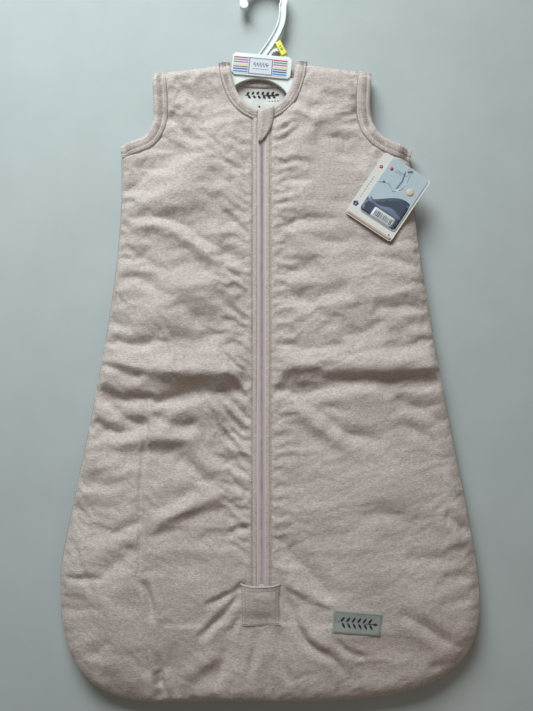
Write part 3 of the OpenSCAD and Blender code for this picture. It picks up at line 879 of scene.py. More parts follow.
def front_height(P):
    dl, tl = distance(P, SIDE_LOOP_L)
    dr, tr = distance(P, SIDE_LOOP_R)
    dsl, _ = distance(P, SHOULDER_L)
    dsr, _ = distance(P, SHOULDER_R)
    dal, tal = distance(P, SEAM_ARM_L)
    dar, tar = distance(P, SEAM_ARM_R)
    dnl, _ = distance(P, NS_L)
    dnr, _ = distance(P, NS_R)
    side = np.minimum(np.abs(dl), np.abs(dr))
    sh = np.minimum(np.abs(dsl), np.abs(dsr))
    arm = np.minimum(np.abs(dal), np.abs(dar))
    neck = np.minimum(np.abs(dnl), np.abs(dnr))
    zipd = np.where(P[:, 1] > GARAGE_Y, np.abs(P[:, 0] - ZIP_X) - ZIP_SEAM, np.hypot(P[:, 0] - ZIP_X, P[:, 1] - GARAGE_Y))
    zipd = np.maximum(zipd, 0)
    # filling: low by the zip and under the tag, full in the middle of each side and in the skirt
    fillness = smooth(zipd / 95) * smooth(side / 80) * smooth((arm + 6) / 60) * smooth((sh + 14) / 44)
    tag = np.exp(-(((P[:, 0] - 108) / 62) ** 2 + ((P[:, 1] - 120) / 82) ** 2) ** 1.6)
    low = smooth((-60 - P[:, 1]) / 200)
    puff = (4.2 + 3.6 * low) * fillness * (1 - 0.72 * tag)
    z = Z_FLAT + puff
    # on the left the cloth steps down below the folds across the middle, and swells above them
    left = smooth((ZIP_X - P[:, 0]) / 40) * smooth(side / 30)
    z += left * (2.0 * np.exp(-((P[:, 1] - 30) / 50) ** 2) - 4.6 * smooth((-52 - P[:, 1]) / 62) * (1 - smooth((-130 - P[:, 1]) / 130)))
    # broad swells and soft noise, quiet next to the zip and the tag
    calm = smooth(zipd / 34) * (1 - 0.75 * tag)
    quiet = quiet_area(P)
    z += calm * (1.1 * waves(P, 3, 95) + 0.55 * quiet * waves(P, 4, 46, stretch=(0.7, 1.25)))
    z += (0.35 + 0.65 * calm) * 0.17 * quiet * waves(P, 5, 19, stretch=(0.8, 1.2))
    ridged = 1 - np.abs(waves(P, 8, 60, stretch=(0.6, 1.2), spread=0.9, turn=PI / 2))
    z += calm * quiet * 0.5 * ridged
    # crumples of washed cloth: sharp little ridges that lean down to the right on the left side
    lean = np.where(P[:, 0] < ZIP_X, -0.75, 0.25)
    U = np.stack([P[:, 0] * np.cos(lean) + P[:, 1] * np.sin(lean), -P[:, 0] * np.sin(lean) + P[:, 1] * np.cos(lean)], axis=1)
    patch = 0.55 + 0.45 * np.clip(waves(P, 12, 70), -1, 1.4)
    patch *= quiet
    z += patch * 0.22 * (0.8 - np.abs(waves(U, 9, 24, stretch=(0.55, 1.25), spread=0.7, turn=PI / 2)))
    z += patch * 0.13 * (0.8 - np.abs(waves(U, 10, 13, stretch=(0.6, 1.2), spread=0.8, turn=PI / 2)))
    z += (0.05 + 0.05 * patch) * waves(U, 11, 8.0, stretch=(0.7, 1.2))
    crease = np.zeros(len(P))
    for line, amp, width, kind, taper, skew in CREASES:
        lo, hi = line.min(0) - 4.5 * width, line.max(0) + 4.5 * width
        m = (P[:, 0] > lo[0]) & (P[:, 0] < hi[0]) & (P[:, 1] > lo[1]) & (P[:, 1] < hi[1])
        if m.any():
            broad = (1.45 if line[:, 0].mean() < ZIP_X else 1.22) if width >= 6 else 1.08
            crease[m] += stroke(P[m], line, amp * broad, width, kind, taper, skew)
    z += crease * (1 - 0.8 * np.exp(-zipd / 3.0))
    z += edge_gathers(P, SIDE_LOOP_L, 21, 15, 0.8, 16, dl, tl) + edge_gathers(P, SIDE_LOOP_R, 22, 16, 0.8, 16, dr, tr)
    z += edge_gathers(P, SEAM_ARM_L, 23, 11, 0.7, 9, dal, tal) + edge_gathers(P, SEAM_ARM_R, 24, 11, 0.7, 9, dar, tar)
    # seams
    z -= 0.9 * np.exp(-arm / 2.6) + 0.9 * np.exp(-neck / 2.6)
    z -= 0.75 * np.exp(-zipd / 2.2) * (P[:, 1] > GARAGE_Y)
    cap = 25.9 + 0.34 * np.maximum(zipd - 3, 0)
    z = np.where(z > cap, cap + (z - cap) * 0.3, z)
    z = np.where(z > 35.0, 35.0 + 4.0 * np.tanh((z - 35.0) / 4.0), z)
    # round down to the side seam
    R = 25.0 + 3.0 * waves(P, 31, 140)
    u = np.clip(side / R, 0, 1)
    prof = (1 - (1 - u) ** 2.3) ** 0.62
    R2 = 15.0
    u2 = np.clip(sh / R2, 0, 1)
    prof = np.minimum(prof, (1 - (1 - u2) ** 2.2) ** 0.6)
    return Z_SEAM + (z - Z_SEAM) * prof


# ------------------------------------------------------------------ front panel
SPACE = 2.4
loop = rim(SPACE)
center_line = resample(np.array([(ZIP_X, GARAGE_Y - 3), (ZIP_X, -386.0)]), SPACE)
V2, FF = fill(loop, SPACE, rows=(0.8, 1.9, 3.4), line=center_line[1:-1], seed=5)
VZ = front_height(V2)
FV = np.concatenate([V2, VZ[:, None]], axis=1)


def settle_cloth(V, F, pin, frames=14, grow=0.02, pressure=1.2, bend=0.6, gravity=0.0):
    """Let the front buckle inside its seams with a short cloth run: the seams are pinned, and the cloth is a little too
    large for them, so the creases it starts with deepen and new ones run in from the seams."""
    scene = bpy.context.scene
    me = bpy.data.meshes.new("settle")
    me.from_pydata((V * MM).tolist(), [], [tuple(int(i) for i in f) for f in F])
    ob = bpy.data.objects.new("settle", me)
    scene.collection.objects.link(ob)
    g = ob.vertex_groups.new(name="pin")
    for w in np.unique(np.round(pin, 2)):
        if w > 0:
            g.add([int(i) for i in np.where(np.round(pin, 2) == w)[0]], float(w), "REPLACE")
    m = ob.modifiers.new("cloth", "CLOTH")
    s = m.settings
    s.quality = 5
    s.mass = 0.1
    s.tension_stiffness = s.compression_stiffness = 18
    s.shear_stiffness = 10
    s.bending_stiffness = bend
    s.tension_damping = s.compression_damping = s.shear_damping = 8
    s.air_damping = 2.5
    s.vertex_group_mass = "pin"
    s.pin_stiffness = 1.0
    s.shrink_min = -grow
    s.use_pressure = True
    s.uniform_pressure_force = pressure
    s.effector_weights.gravity = gravity
    m.collision_settings.use_collision = False
    m.collision_settings.use_self_collision = False
    m.point_cache.frame_start = 1
    m.point_cache.frame_end = frames + 1
    for f in range(1, frames + 1):
        scene.frame_set(f)
    ev = ob.evaluated_get(bpy.context.evaluated_depsgraph_get())
    out = np.empty(len(me.vertices) * 3, np.float32)
    ev.data.vertices.foreach_get("co", out)
    bpy.data.objects.remove(ob)
    bpy.data.meshes.remove(me)
    scene.frame_set(1)
    return out.reshape(-1, 3).astype(float) / MM


FV_REST2 = V2.copy()
t0 = time.perf_counter()
loop_d, _ = distance(V2, np.concatenate([loop, loop[:1]]))
edge_d = np.abs(loop_d)
pin = np.where(edge_d < 1.2, 1.0, 0.0)
tagz = np.exp(-(((V2[:, 0] - 108) / 60) ** 2 + ((V2[:, 1] - 130) / 80) ** 2) ** 1.6)
out = settle_cloth(FV, FF, pin, **SETTLE)
move = (out - FV) * quiet_area(V2)[:, None]
print("settle", round(time.perf_counter() - t0, 1), "s; z moved", np.percentile(move[:, 2], [0, 5, 50, 95, 100]).round(2),
      "xy", np.percentile(np.hypot(move[:, 0], move[:, 1]), [50, 95, 100]).round(2))
lo, hi = -3.5, 5.5 - 4.6 * tagz
move[:, 2] = np.where(move[:, 2] > 0, hi * np.tanh(move[:, 2] / np.maximum(hi, 0.1)), lo * np.tanh(move[:, 2] / lo))
xy = np.hypot(move[:, 0], move[:, 1])
k = 2.5 * np.tanh(xy / 2.5) / np.maximum(xy, 1e-6)
move[:, 0] *= k
move[:, 1] *= k
FV = FV + move
# the swing tag sweeps over the right chest: the cloth stays under its cards there
sweep = smooth((112 - np.hypot(V2[:, 0] - 146, V2[:, 1] - 165)) / 14) * smooth((225 - V2[:, 1]) / 12)
under = 26.6 + 1.9 * np.tanh(np.maximum(FV[:, 2] - 26.6, 0) / 1.9)
FV[:, 2] = np.where(FV[:, 2] > 26.6, FV[:, 2] * (1 - sweep) + under * sweep, FV[:, 2])
FN = vertex_normals(FV, FF)
FT = BVHTree.FromPolygons([tuple(p) for p in FV.tolist()], [tuple(int(i) for i in f) for f in FF])


def drop(P, lift=0.0, default=24.0):
    out = np.empty((len(P), 3))
    last = default
    for i, p in enumerate(np.asarray(P, float)):
        hit = FT.ray_cast(Vector((p[0], p[1], 90.0)), Vector((0, 0, -1)))
        if hit[0] is not None:
            last = hit[0].z
        out[i] = (p[0], p[1], last + lift)
    return out


def drop_near(P, toward, reach=0.6, lift=0.0):
    """Height of the front at P, sampled a little way towards a point that is surely on it."""
    q = np.asarray(P, float)
    w = np.asarray(toward, float) - q
    w /= np.maximum(np.linalg.norm(w, axis=1), 1e-9)[:, None]
    out = drop(q + w * reach, lift)
    out[:, :2] = q
    return out


LEFT = V2[FF].mean(1)[:, 0] < ZIP_X


def part_of(V, N, F, rest):
    used = np.unique(F)
    new = np.full(len(V), -1)
    new[used] = np.arange(len(used))
    return V[used], N[used], new[F], rest[used]


for side, mask in (("L", LEFT), ("R", ~LEFT)):
    v, nn, f, r = part_of(FV, FN, FF[mask], FV_REST2)
    o = new_object("front_panel_" + ("left" if side == "L" else "right"), v, f, M_OUTER, rest=r, normals=nn)
    join(o, side)
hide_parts("front_outer", "front_wadding", "left_edge_outer", "left_edge_wadding")
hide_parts("right_edge_outer", "right_edge_wadding", "side_seam_left", "side_seam_right", "hem_seam",
            "shoulder_seam_left", "shoulder_seam_right")

# ------------------------------------------------------------------ front lining
lin_space = 6.5
LV2, LF = fill(rim(lin_space), lin_space, rows=(1.5,), line=resample(np.array([(ZIP_X, GARAGE_Y - 3), (ZIP_X, -386.0)]), lin_space)[1:-1], seed=6)
dl, _ = distance(LV2, SIDE_LOOP_L)
dr, _ = distance(LV2, SIDE_LOOP_R)
ds1, _ = distance(LV2, SHOULDER_L)
ds2, _ = distance(LV2, SHOULDER_R)
sd = np.minimum(np.minimum(np.abs(dl), np.abs(dr)), np.minimum(np.abs(ds1), np.abs(ds2)))
lz = 17.2 + 0.7 * waves(LV2, 41, 44) + 0.3 * waves(LV2, 42, 18)
lz = Z_SEAM + 0.1 + (lz - Z_SEAM) * smooth(sd / 26)
LV = np.concatenate([LV2, lz[:, None]], axis=1)
LF = LF[:, ::-1]
LN = vertex_normals(LV, LF)
LL = LV2[LF].mean(1)[:, 0] < ZIP_X
for side, mask in (("L", LL), ("R", ~LL)):
    v, nn, f, r = part_of(LV, LN, LF[mask], LV2)
    o = new_object("front_lining_" + ("left" if side == "L" else "right"), v, f, M_LINING, rest=r, normals=nn)
    join(o, side)
    if side == "L":
        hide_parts("front_lining", "left_edge_lining")
    else:
        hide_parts("right_edge_lining")

# ------------------------------------------------------------------ back panel and its lining


def rim_back(spacing, out=0.0):
    parts = []
    add = lambda p: parts.append(resample(np.asarray(p, float), spacing)[:-1])
    nb = moved(NECK_B, -13.0)
    add(nb[::-1])
    add([nb[0], SEAM_ARM_L[0]])
    add(SEAM_ARM_L)
    add([SEAM_ARM_L[-1], SIDE_L[0]])
    add(SIDE_L)
    add(HEM_L)
    add([HEM_L[-1], HEM_R[-1]])
    add(HEM_R[::-1])
    add(SIDE_R[::-1])
    add([SIDE_R[0], SEAM_ARM_R[-1]])
    add(SEAM_ARM_R[::-1])
    add([SEAM_ARM_R[0], nb[-1]])
    return np.concatenate(parts)


back_space = 6.0
BV2, BF = fill(rim_back(back_space), back_space, rows=(0.9, 2.2, 4.0, 6.5), seed=7)
dl, tl = distance(BV2, SIDE_LOOP_L)
dr, tr = distance(BV2, SIDE_LOOP_R)
ds1, _ = distance(BV2, np.array([(-44, 287 - 13), SEAM_ARM_L[0]]))
ds2, _ = distance(BV2, np.array([(27, 288 - 13), SEAM_ARM_R[0]]))
sd = np.minimum(np.abs(dl), np.abs(dr))
sh = np.minimum(np.abs(ds1), np.abs(ds2))
u = np.clip(sd / 20.0, 0, 1)
u2 = np.clip(sh / 12.0, 0, 1)
prof = np.minimum((1 - (1 - u) ** 2.3) ** 0.6, (1 - (1 - u2) ** 2.3) ** 0.6)
bz = 0.15 + 0.35 * np.clip(waves(BV2, 51, 40), 0, 2) * smooth(sd / 30)
bz = bz + (Z_SEAM - 0.2 - bz) * (1 - prof) + 0.5 * (1 - prof) * waves(BV2, 52, 17)
BV = np.concatenate([BV2, np.maximum(bz, 0.05)[:, None]], axis=1)
back = new_object("back_panel", BV, BF[:, ::-1], M_OUTER, rest=BV2)
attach(back, "root")
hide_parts("back_outer", "back_wadding")

BL2, BLF = fill(rim_back(lin_space), 4.0, rows=(1.5,), seed=8)
dl, _ = distance(BL2, SIDE_LOOP_L)
dr, _ = distance(BL2, SIDE_LOOP_R)
sd = np.minimum(np.abs(dl), np.abs(dr))
blz = 8.7 + 0.45 * waves(BL2, 61, 34) + 0.35 * waves(BL2, 62, 15) * smooth((BL2[:, 1] - 60) / 80)
blz -= 1.3 * np.exp(-(((BL2[:, 0] + 10) / 84) ** 2 + ((BL2[:, 1] - 262) / 40) ** 2) ** 2)
blz = Z_SEAM - 0.2 + (blz - Z_SEAM) * smooth(sd / 22)
BL = np.concatenate([BL2, blz[:, None]], axis=1)
back_lining = new_object("back_lining_cloth", BL, BLF, M_LINING_BACK, rest=BL2)
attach(back_lining, "root")
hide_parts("back_lining")
LT = BVHTree.FromPolygons([tuple(p) for p in BL.tolist()], [tuple(int(i) for i in f) for f in BLF])


# ------------------------------------------------------------------ ribbons and stitches
def ribbon(name, inner, outer, section, mat, where, rest_wide=None, n=None, ripple=0.0, seed=0, caps=True):
    """A sewn strip between two edges that have the same number of points. section is a ring of (place across from
    inner to outer, how far past it in mm, height above the inner edge's height at place 0, weight of that height)."""
    A, B = np.asarray(inner, float), np.asarray(outer, float)
    m = len(A)
    d = B[:, :2] - A[:, :2]
    w = np.linalg.norm(d, axis=1)
    nrm = d / np.maximum(w, 1e-9)[:, None]
    run = np.concatenate([[0], np.cumsum(np.linalg.norm(np.diff((A[:, :2] + B[:, :2]) / 2, axis=0), axis=1))])
    rows = []
    rest = []
    r = np.random.RandomState(seed + 100)
    ph = r.uniform(0, 6, 6)
    rip = sum(np.cos(2 * PI * run / (7.0 + 5.3 * k) + ph[k]) for k in range(6)) / 3.0 * ripple
    across = 0.0
    prev = None
    for (u, past, z, follow) in section:
        xy = A[:, :2] + d * u + nrm * past
        zz = z + follow * A[:, 2] + rip * (0.3 + 0.7 * math.sin(PI * min(max(u, 0), 1)))
        rows.append(np.column_stack([xy, zz]))
        if prev is not None:
            across += float(np.linalg.norm(rows[-1][0] - prev[0]))
        prev = rows[-1]
        rest.append(np.column_stack([np.full(m, across), run, np.zeros(m)]))
    R = np.transpose(np.array(rows), (1, 0, 2))
    Q = np.transpose(np.array(rest), (1, 0, 2))
    o = loft(name, R, mat, closed=True, caps=caps, rest=Q)
    if where is not None:
        join(o, where)
    return o


STITCHES = {}


def stitch_line(group, P, pitch=3.0, fill_share=0.66, radius=0.22, lift=0.12, on_front=True, skip=0.0, zigzag=0.0, sink=0.5):
    """A row of thread stitches along P (2D, laid on the front, or 3D). Each is a short bent thread that dives at both ends."""
    P = np.asarray(P, float)
    q = resample(P, pitch)
    if len(q) < 2:
        return
    if P.shape[1] == 2:
        q = drop(q) if on_front else q
    out = STITCHES.setdefault(group, [])
    for i in range(len(q) - 1):
        a, b = q[i], q[i + 1]
        d = b - a
        L = np.linalg.norm(d)
        if L < 1e-6 or L > pitch * 4:
            continue
        side = np.array([-d[1], d[0], 0]) / max(math.hypot(d[0], d[1]), 1e-9)
        g = (1 - fill_share) / 2
        a2, b2 = a + d * g, b - d * g
        if zigzag:
            a2 = a2 + side * zigzag * (1 if i % 2 else -1)
            b2 = b2 - side * zigzag * (1 if i % 2 else -1)
        pts = []
        for t, h in ((0.0, -sink), (0.14, 0.4), (0.5, 1.0), (0.86, 0.4), (1.0, -sink)):
            pts.append(a2 + (b2 - a2) * t + np.array([0, 0, lift + radius * h]))
        out.append((np.array(pts), radius))


def thread_mesh(name, group, mat, where, sides=6):
    V, F = [], []
    for pts, rad in STITCHES.get(group, []):
        base = len(V)
        d = pts[-1] - pts[0]
        d = d / max(np.linalg.norm(d), 1e-9)
        s = np.cross(d, (0, 0, 1.0))
        s /= max(np.linalg.norm(s), 1e-9)
        up = np.cross(s, d)
        for k, p in enumerate(pts):
            rr = rad * (0.62, 0.95, 1.05, 0.95, 0.62)[k]
            for j in range(sides):
                a = 2 * PI * j / sides
                V.append(p + s * math.cos(a) * rr + up * math.sin(a) * rr * 0.8)
        m = len(pts)
        for i in range(m - 1):
            for j in range(sides):
                F.append((base + i * sides + j, base + i * sides + (j + 1) % sides, base + (i + 1) * sides + (j + 1) % sides, base + (i + 1) * sides + j))
        F.append(tuple(base + j for j in range(sides - 1, -1, -1)))
        F.append(tuple(base + (m - 1) * sides + j for j in range(sides)))
    if not V:
        return None
    o = new_object(name, np.array(V), F, mat)
    bm = bmesh.new()
    bm.from_mesh(o.data)
    bmesh.ops.recalc_face_normals(bm, faces=bm.faces)
    bm.to_mesh(o.data)
    bm.free()
    join(o, where)
    return o


def ring_section(half_points, t):
    """Closed ring from an open top line: the same line again, t lower, back to the start."""
    return half_points + [(u, p, z - t, f) for (u, p, z, f) in reversed(half_points)]


# folded strips of cloth on both sides of the zip
zy = np.arange(NS_L[-1][1] + 2.6, GARAGE_Y + 2, -2.6)
for side, s in (("L", -1), ("R", 1)):
    top = (NS_L if s < 0 else NS_R)[-1][1] + 1.5
    ys = np.linspace(top, GARAGE_Y + 1.0, 200)
    inner = np.column_stack([np.full(len(ys), ZIP_X + s * ZIP_SEAM), ys])
    base = drop_near(inner, inner + np.array([s * 5.0, 0]), 0.9)
    k = np.ones(9) / 9
    base[:, 2] = np.convolve(np.pad(base[:, 2], 4, mode="edge"), k, mode="valid")
    base[:, 2] = np.minimum(base[:, 2], 25.0)
    outer = np.column_stack([np.full(len(ys), ZIP_X + s * 4.5), ys])
    sect = [(-0.10, 0, -1.0, 1), (0.0, 0, -0.45, 1), (0.10, 0, 0.15, 1), (0.28, 0, 0.62, 1), (0.5, 0, 0.78, 1), (0.72, 0, 0.74, 1), (0.9, 0, 0.42, 1),
            (1.0, 0, -0.15, 1), (1.0, 0.1, -0.8, 1), (0.93, 0, -1.3, 1), (0.75, 0, -1.55, 1), (0.4, 0, -1.7, 1), (0.1, 0, -1.7, 1)]
    o = ribbon("zip_facing_" + ("left" if s < 0 else "right"), base, outer, sect, M_OUTER, side, ripple=0.10, seed=3 + s)
    # under side of the facing, down to the lining
    low = np.column_stack([np.full(len(ys), ZIP_X + s * 7.2), ys, np.full(len(ys), 17.3)])
    mid = np.column_stack([np.full(len(ys), ZIP_X + s * 6.4), ys, np.full(len(ys), 20.5)])
    topl = np.column_stack([np.full(len(ys), ZIP_X + s * 6.9), ys, np.full(len(ys), 23.4)])
    out = np.column_stack([np.full(len(ys), ZIP_X + s * 9.8), ys, np.full(len(ys), 23.0)])
    low2 = np.column_stack([np.full(len(ys), ZIP_X + s * 10.5), ys, np.full(len(ys), 17.6)])
    R = np.transpose(np.array([low, mid, topl, out, low2]), (1, 0, 2))
    w = loft("zip_edge_" + ("left" if s < 0 else "right"), R, M_LINING, closed=True, rest=R)
    join(w, side)
    stitch_line("topstitch" + side, np.column_stack([np.full(len(ys), ZIP_X + s * (ZIP_SEAM + 1.3)), ys]), 2.7, 0.7, 0.2, 0.05)
    # painted shade of the seam groove beside the zip: a thin dark cord along the seam
    seam_shade_line = base.copy()
    seam_shade_line[:, 0] = ZIP_X + s * (ZIP_SEAM - 0.15)
    seam_shade_line[:, 2] -= 0.28
    n8 = 6
    Rs = np.array([[p + np.array([0.24 * math.cos(2 * PI * j / n8), 0, 0.2 * math.sin(2 * PI * j / n8)]) for j in range(n8)] for p in seam_shade_line])
    o = loft("zip_seam_shade_" + ("left" if s < 0 else "right"), Rs, M_SEAM_SHADE, closed=True)
    join(o, side)

# zip tapes with ribs, and the coil
for side, s, name in (("L", -1, "left"), ("R", 1, "right")):
    ys = np.linspace(219.0, -298.0, 140)
    xs = [7.0, 6.0, 5.2, 4.6, 4.0, 3.6, 3.2, 2.8, 2.4, 2.0, 1.4, 0.8]
    zs = [23.7, 24.1, 24.2, 24.35, 24.6, 24.3, 24.65, 24.35, 24.7, 24.45, 24.6, 24.5]
    rows = [[(ZIP_X + s * x, y, z) for x, z in zip(xs, zs)] + [(ZIP_X + s * x, y, z - 0.55) for x, z in zip(xs[::-1], zs[::-1])] for y in ys]
    rest = [[(x, y, 0) for x, z in zip(xs, zs)] + [(x, y, 1) for x, z in zip(xs[::-1], zs[::-1])] for y in ys]
    o = loft("tape_" + name, rows, M_TAPE, closed=True, rest=rest)
    join(o, side)
    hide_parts("zip_tape_" + name)
    # coil: one loop of filament for each tooth
    pitch = 1.5
    n = int(503 / pitch)
    V, F = [], []
    sides = 5
    for i in range(n):
        y = 220.2 - (i + (0.5 if s > 0 else 0.0)) * pitch
        path = [(2.1, -0.18, 24.45), (1.5, -0.22, 24.75), (0.5, -0.12, 24.9), (-0.12, 0.05, 24.7), (0.5, 0.22, 24.45), (1.5, 0.3, 24.35)]
        b = len(V)
        for px, py, pz in path:
            rr = 0.34 if px > 0 else 0.42
            for j in range(sides):
                a = 2 * PI * j / sides
                V.append((ZIP_X + s * px, y + py * pitch + rr * math.cos(a), pz + rr * math.sin(a)))
        for q in range(len(path) - 1):
            for j in range(sides):
                F.append((b + q * sides + j, b + q * sides + (j + 1) % sides, b + (q + 1) * sides + (j + 1) % sides, b + (q + 1) * sides + j))
        F.append(tuple(b + j for j in range(sides - 1, -1, -1)))
        F.append(tuple(b + (len(path) - 1) * sides + j for j in range(sides)))
    o = new_object("coil_" + name, np.array(V), F, M_COIL)
    bm = bmesh.new()
    bm.from_mesh(o.data)
    bmesh.ops.recalc_face_normals(bm, faces=bm.faces)
    bm.to_mesh(o.data)
    bm.free()
    join(o, side)
    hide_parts("zip_coil_" + name)
    # the sewing line of the coil
    for off in (2.75,):
        stitch_line("tape" + side, np.column_stack([np.full(len(ys), ZIP_X + s * off), ys, np.full(len(ys), 24.55)]), 2.2, 0.85, 0.15, 0.04)

# neck bindings
for side, s, ns, name in (("L", -1, SEAM_NECK_L, "left"), ("R", 1, SEAM_NECK_R, "right")):
    inner_edge = NECK_L if s < 0 else NECK_R
    m = 80
    I = resample(inner_edge, n=m)
    seam = moved(resample(inner_edge, n=m), NECK_W * s)
    # stop at the zip
    keep = [i for i in range(m) if (seam[i, 0] - ZIP_X) * s > 4.6]
    I, S = I[keep], seam[keep]
    # the end turns down beside the zip
    S[-1, 0] = ZIP_X + s * 4.7
    I[-1, 0] = ZIP_X + s * 4.7
    B = drop_near(S, S + (S - I), 1.0)
    B[:, 2] = np.convolve(np.pad(B[:, 2], 4, mode="edge"), np.ones(9) / 9, mode="valid")
    B[:, 2] = np.minimum(B[:, 2], 25.0)
    sect = [(-0.03, 0, -0.7, 1), (0.02, 0, 0.1, 1), (0.10, 0, 0.85, 1), (0.20, 0, 1.15, 1), (0.26, 0, 0.75, 1), (0.31, 0, 1.2, 1), (0.42, 0, 1.35, 1),
            (0.53, 0, 1.25, 1), (0.58, 0, 0.8, 1), (0.64, 0, 1.2, 1), (0.78, 0, 1.1, 1), (0.90, 0, 0.5, 1), (0.97, 0, -0.4, 1), (1.0, 0, -1.6, 1), (1.0, 0.1, -3.4, 1), (0.97, 0, -5.4, 1),
            (0.85, 0, -6.8, 1), (0.6, 0, -7.5, 1), (0.3, 0, -7.7, 1), (0.05, 0, -7.7, 1), (-0.03, 0, -6.0, 1)]
    o = ribbon("neck_band_" + name, B, I, sect, M_BAND, side, ripple=0.22, seed=7 + s)
    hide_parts("neck_binding_" + name)
    for off, z in ((0.26, 0.82), (0.58, 0.87)):
        L = B[:, :2] + (I - B[:, :2]) * off
        stitch_line("neckdark" + side, np.column_stack([L, B[:, 2] + z]), 1.9, 0.62, 0.19, 0.02)
    L = B[:, :2] + (I - B[:, :2]) * 0.42
    stitch_line("neckladder" + side, np.column_stack([L, B[:, 2] + 1.25]), 1.15, 1.0, 0.14, 0.02, zigzag=1.7, sink=0.2)
    stitch_line("neckdark" + side, np.column_stack([B[:, :2] + (I - B[:, :2]) * 0.08, B[:, 2] + 0.7]), 2.6, 0.7, 0.14, 0.02)
    # painted shade at the binding's outer edge: a thin dark cord along the seam groove
    sl = np.column_stack([B[:, :2] + (I - B[:, :2]) * -0.01, B[:, 2] + 0.1])
    n8 = 6
    T = tangents(sl[:, :2])
    Rs = np.array([[p + np.array([-t[1] * 0.3 * math.cos(2 * PI * j / n8), t[0] * 0.3 * math.cos(2 * PI * j / n8), 0.24 * math.sin(2 * PI * j / n8)]) for j in range(n8)] for p, t in zip(sl, T)])
    o = loft("neck_seam_shade_" + name, Rs, M_SEAM_SHADE, closed=True)
    join(o, side)

# back neck binding
m = 90
I = resample(NECK_B, n=m)
S = moved(I, -13.0)
B = np.column_stack([S, np.full(m, 8.9)])
sect = [(-0.03, 0, -0.6, 1), (0.03, 0, 0.2, 1), (0.15, 0, 0.8, 1), (0.25, 0, 0.55, 1), (0.4, 0, 0.95, 1), (0.65, 0, 0.95, 1), (0.85, 0, 0.5, 1), (0.96, 0, -0.6, 1),
        (1.0, 0, -2.4, 1), (1.0, 0, -5.2, 1), (0.95, 0, -7.2, 1), (0.8, 0, -8.3, 1), (0.4, 0, -8.7, 1), (0.0, 0, -8.7, 1), (-0.03, 0, -6.0, 1)]
o = ribbon("neck_band_back", B, I, sect, M_BAND, "root", ripple=0.2, seed=4)
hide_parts("neck_binding_back")
for off, z in ((0.26, 0.6), (0.58, 0.98)):
    stitch_line("root_dark", np.column_stack([S + (I - S) * off, B[:, 2] + z]), 1.9, 0.62, 0.18, 0.02)
stitch_line("root_ladder", np.column_stack([S + (I - S) * 0.42, B[:, 2] + 0.95]), 1.15, 1.0, 0.14, 0.02, zigzag=1.7, sink=0.2)

# armhole bindings, front and back
for s, free, seam, name in ((-1, ARM_L, SEAM_ARM_L, "left"), (1, ARM_R, SEAM_ARM_R, "right")):
    m = 110
    I = resample(free, n=m)
    S = moved(I, -15.0 * s)
    mid = np.array([-10.0, 120.0])
    B = drop_near(S, S + (S - I), 1.1)
    B[:, 2] = np.convolve(np.pad(B[:, 2], 5, mode="edge"), np.ones(11) / 11, mode="valid")
    t = np.linspace(0, 1, m)
    ends = smooth(t / 0.1) * smooth((1 - t) / 0.12)
    B[:, 2] = 15.5 + (B[:, 2] - 15.5) * np.maximum(ends, 0.25)
    sect = [(-0.03, 0, -0.8, 1), (0.02, 0, 0.1, 1), (0.08, 0, 0.9, 1), (0.12, 0, 1.15, 1), (0.15, 0, 0.95, 1), (0.20, 0, 1.4, 1), (0.29, 0, 1.5, 1),
            (0.33, 0, 1.05, 1), (0.38, 0, 1.5, 1), (0.50, 0, 1.65, 1), (0.62, 0, 1.5, 1), (0.66, 0, 1.0, 1), (0.71, 0, 1.35, 1), (0.80, 0, 0.9, 1), (0.89, 0, 0.2, 1), (0.96, 0, -0.8, 1), (1.0, 0, -1.8, 1), (1.0, 0.1, -3.4, 1), (0.96, 0, -5.2, 1),
            (0.84, 0, -6.6, 1), (0.6, 0, -7.3, 1), (0.3, 0, -7.6, 1), (0.05, 0, -7.6, 1), (-0.03, 0, -5.5, 1)]
    o = ribbon("armhole_band_" + name, B, I, sect, M_BAND, "root", ripple=0.3, seed=17 + s)
    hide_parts("armhole_binding_" + name)
    for off, z in ((0.33, 1.12), (0.66, 1.07)):
        stitch_line("root_dark", np.column_stack([S + (I - S) * off, B[:, 2] + z]), 1.9, 0.62, 0.2, 0.02)
    stitch_line("root_ladder", np.column_stack([S + (I - S) * 0.495, B[:, 2] + 1.6]), 1.15, 1.0, 0.15, 0.02, zigzag=2.1, sink=0.2)
    stitch_line("root_dark", np.column_stack([S + (I - S) * 0.15, B[:, 2] + 1.0]), 2.6, 0.75, 0.14, 0.0)
    # painted shade at the binding's outer edge: a thin dark cord along the seam groove
    sl = np.column_stack([S + (I - S) * -0.01, B[:, 2] + 0.05])
    T = tangents(sl[:, :2])
    n8 = 6
    Rs = np.array([[p + np.array([-tt[1] * 0.3 * math.cos(2 * PI * j / n8), tt[0] * 0.3 * math.cos(2 * PI * j / n8), 0.24 * math.sin(2 * PI * j / n8)]) for j in range(n8)] for p, tt in zip(sl, T)])
    o = loft("armhole_seam_shade_" + name, Rs, M_SEAM_SHADE, closed=True)
    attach(o, "root")
    BB = np.column_stack([S, np.full(m, 8.2)])
    zb = 8.2 + 4.0 * (1 - ends)
    BB[:, 2] = zb
    sect = [(-0.03, 0, -0.6, 1), (0.05, 0, 0.3, 1), (0.3, 0, 0.9, 1), (0.6, 0, 0.9, 1), (0.85, 0, 0.4, 1), (0.96, 0, -0.8, 1), (1.0, 0, -2.6, 1),
            (1.0, 0, -4.6, 1), (0.95, 0, -6.4, 1), (0.8, 0, -7.4, 1), (0.4, 0, -7.9, 1), (0.0, 0, -7.9, 1), (-0.03, 0, -5.0, 1)]
    o = ribbon("armhole_band_back_" + name, BB, I, sect, M_BAND, "root", ripple=0.2, seed=27 + s)
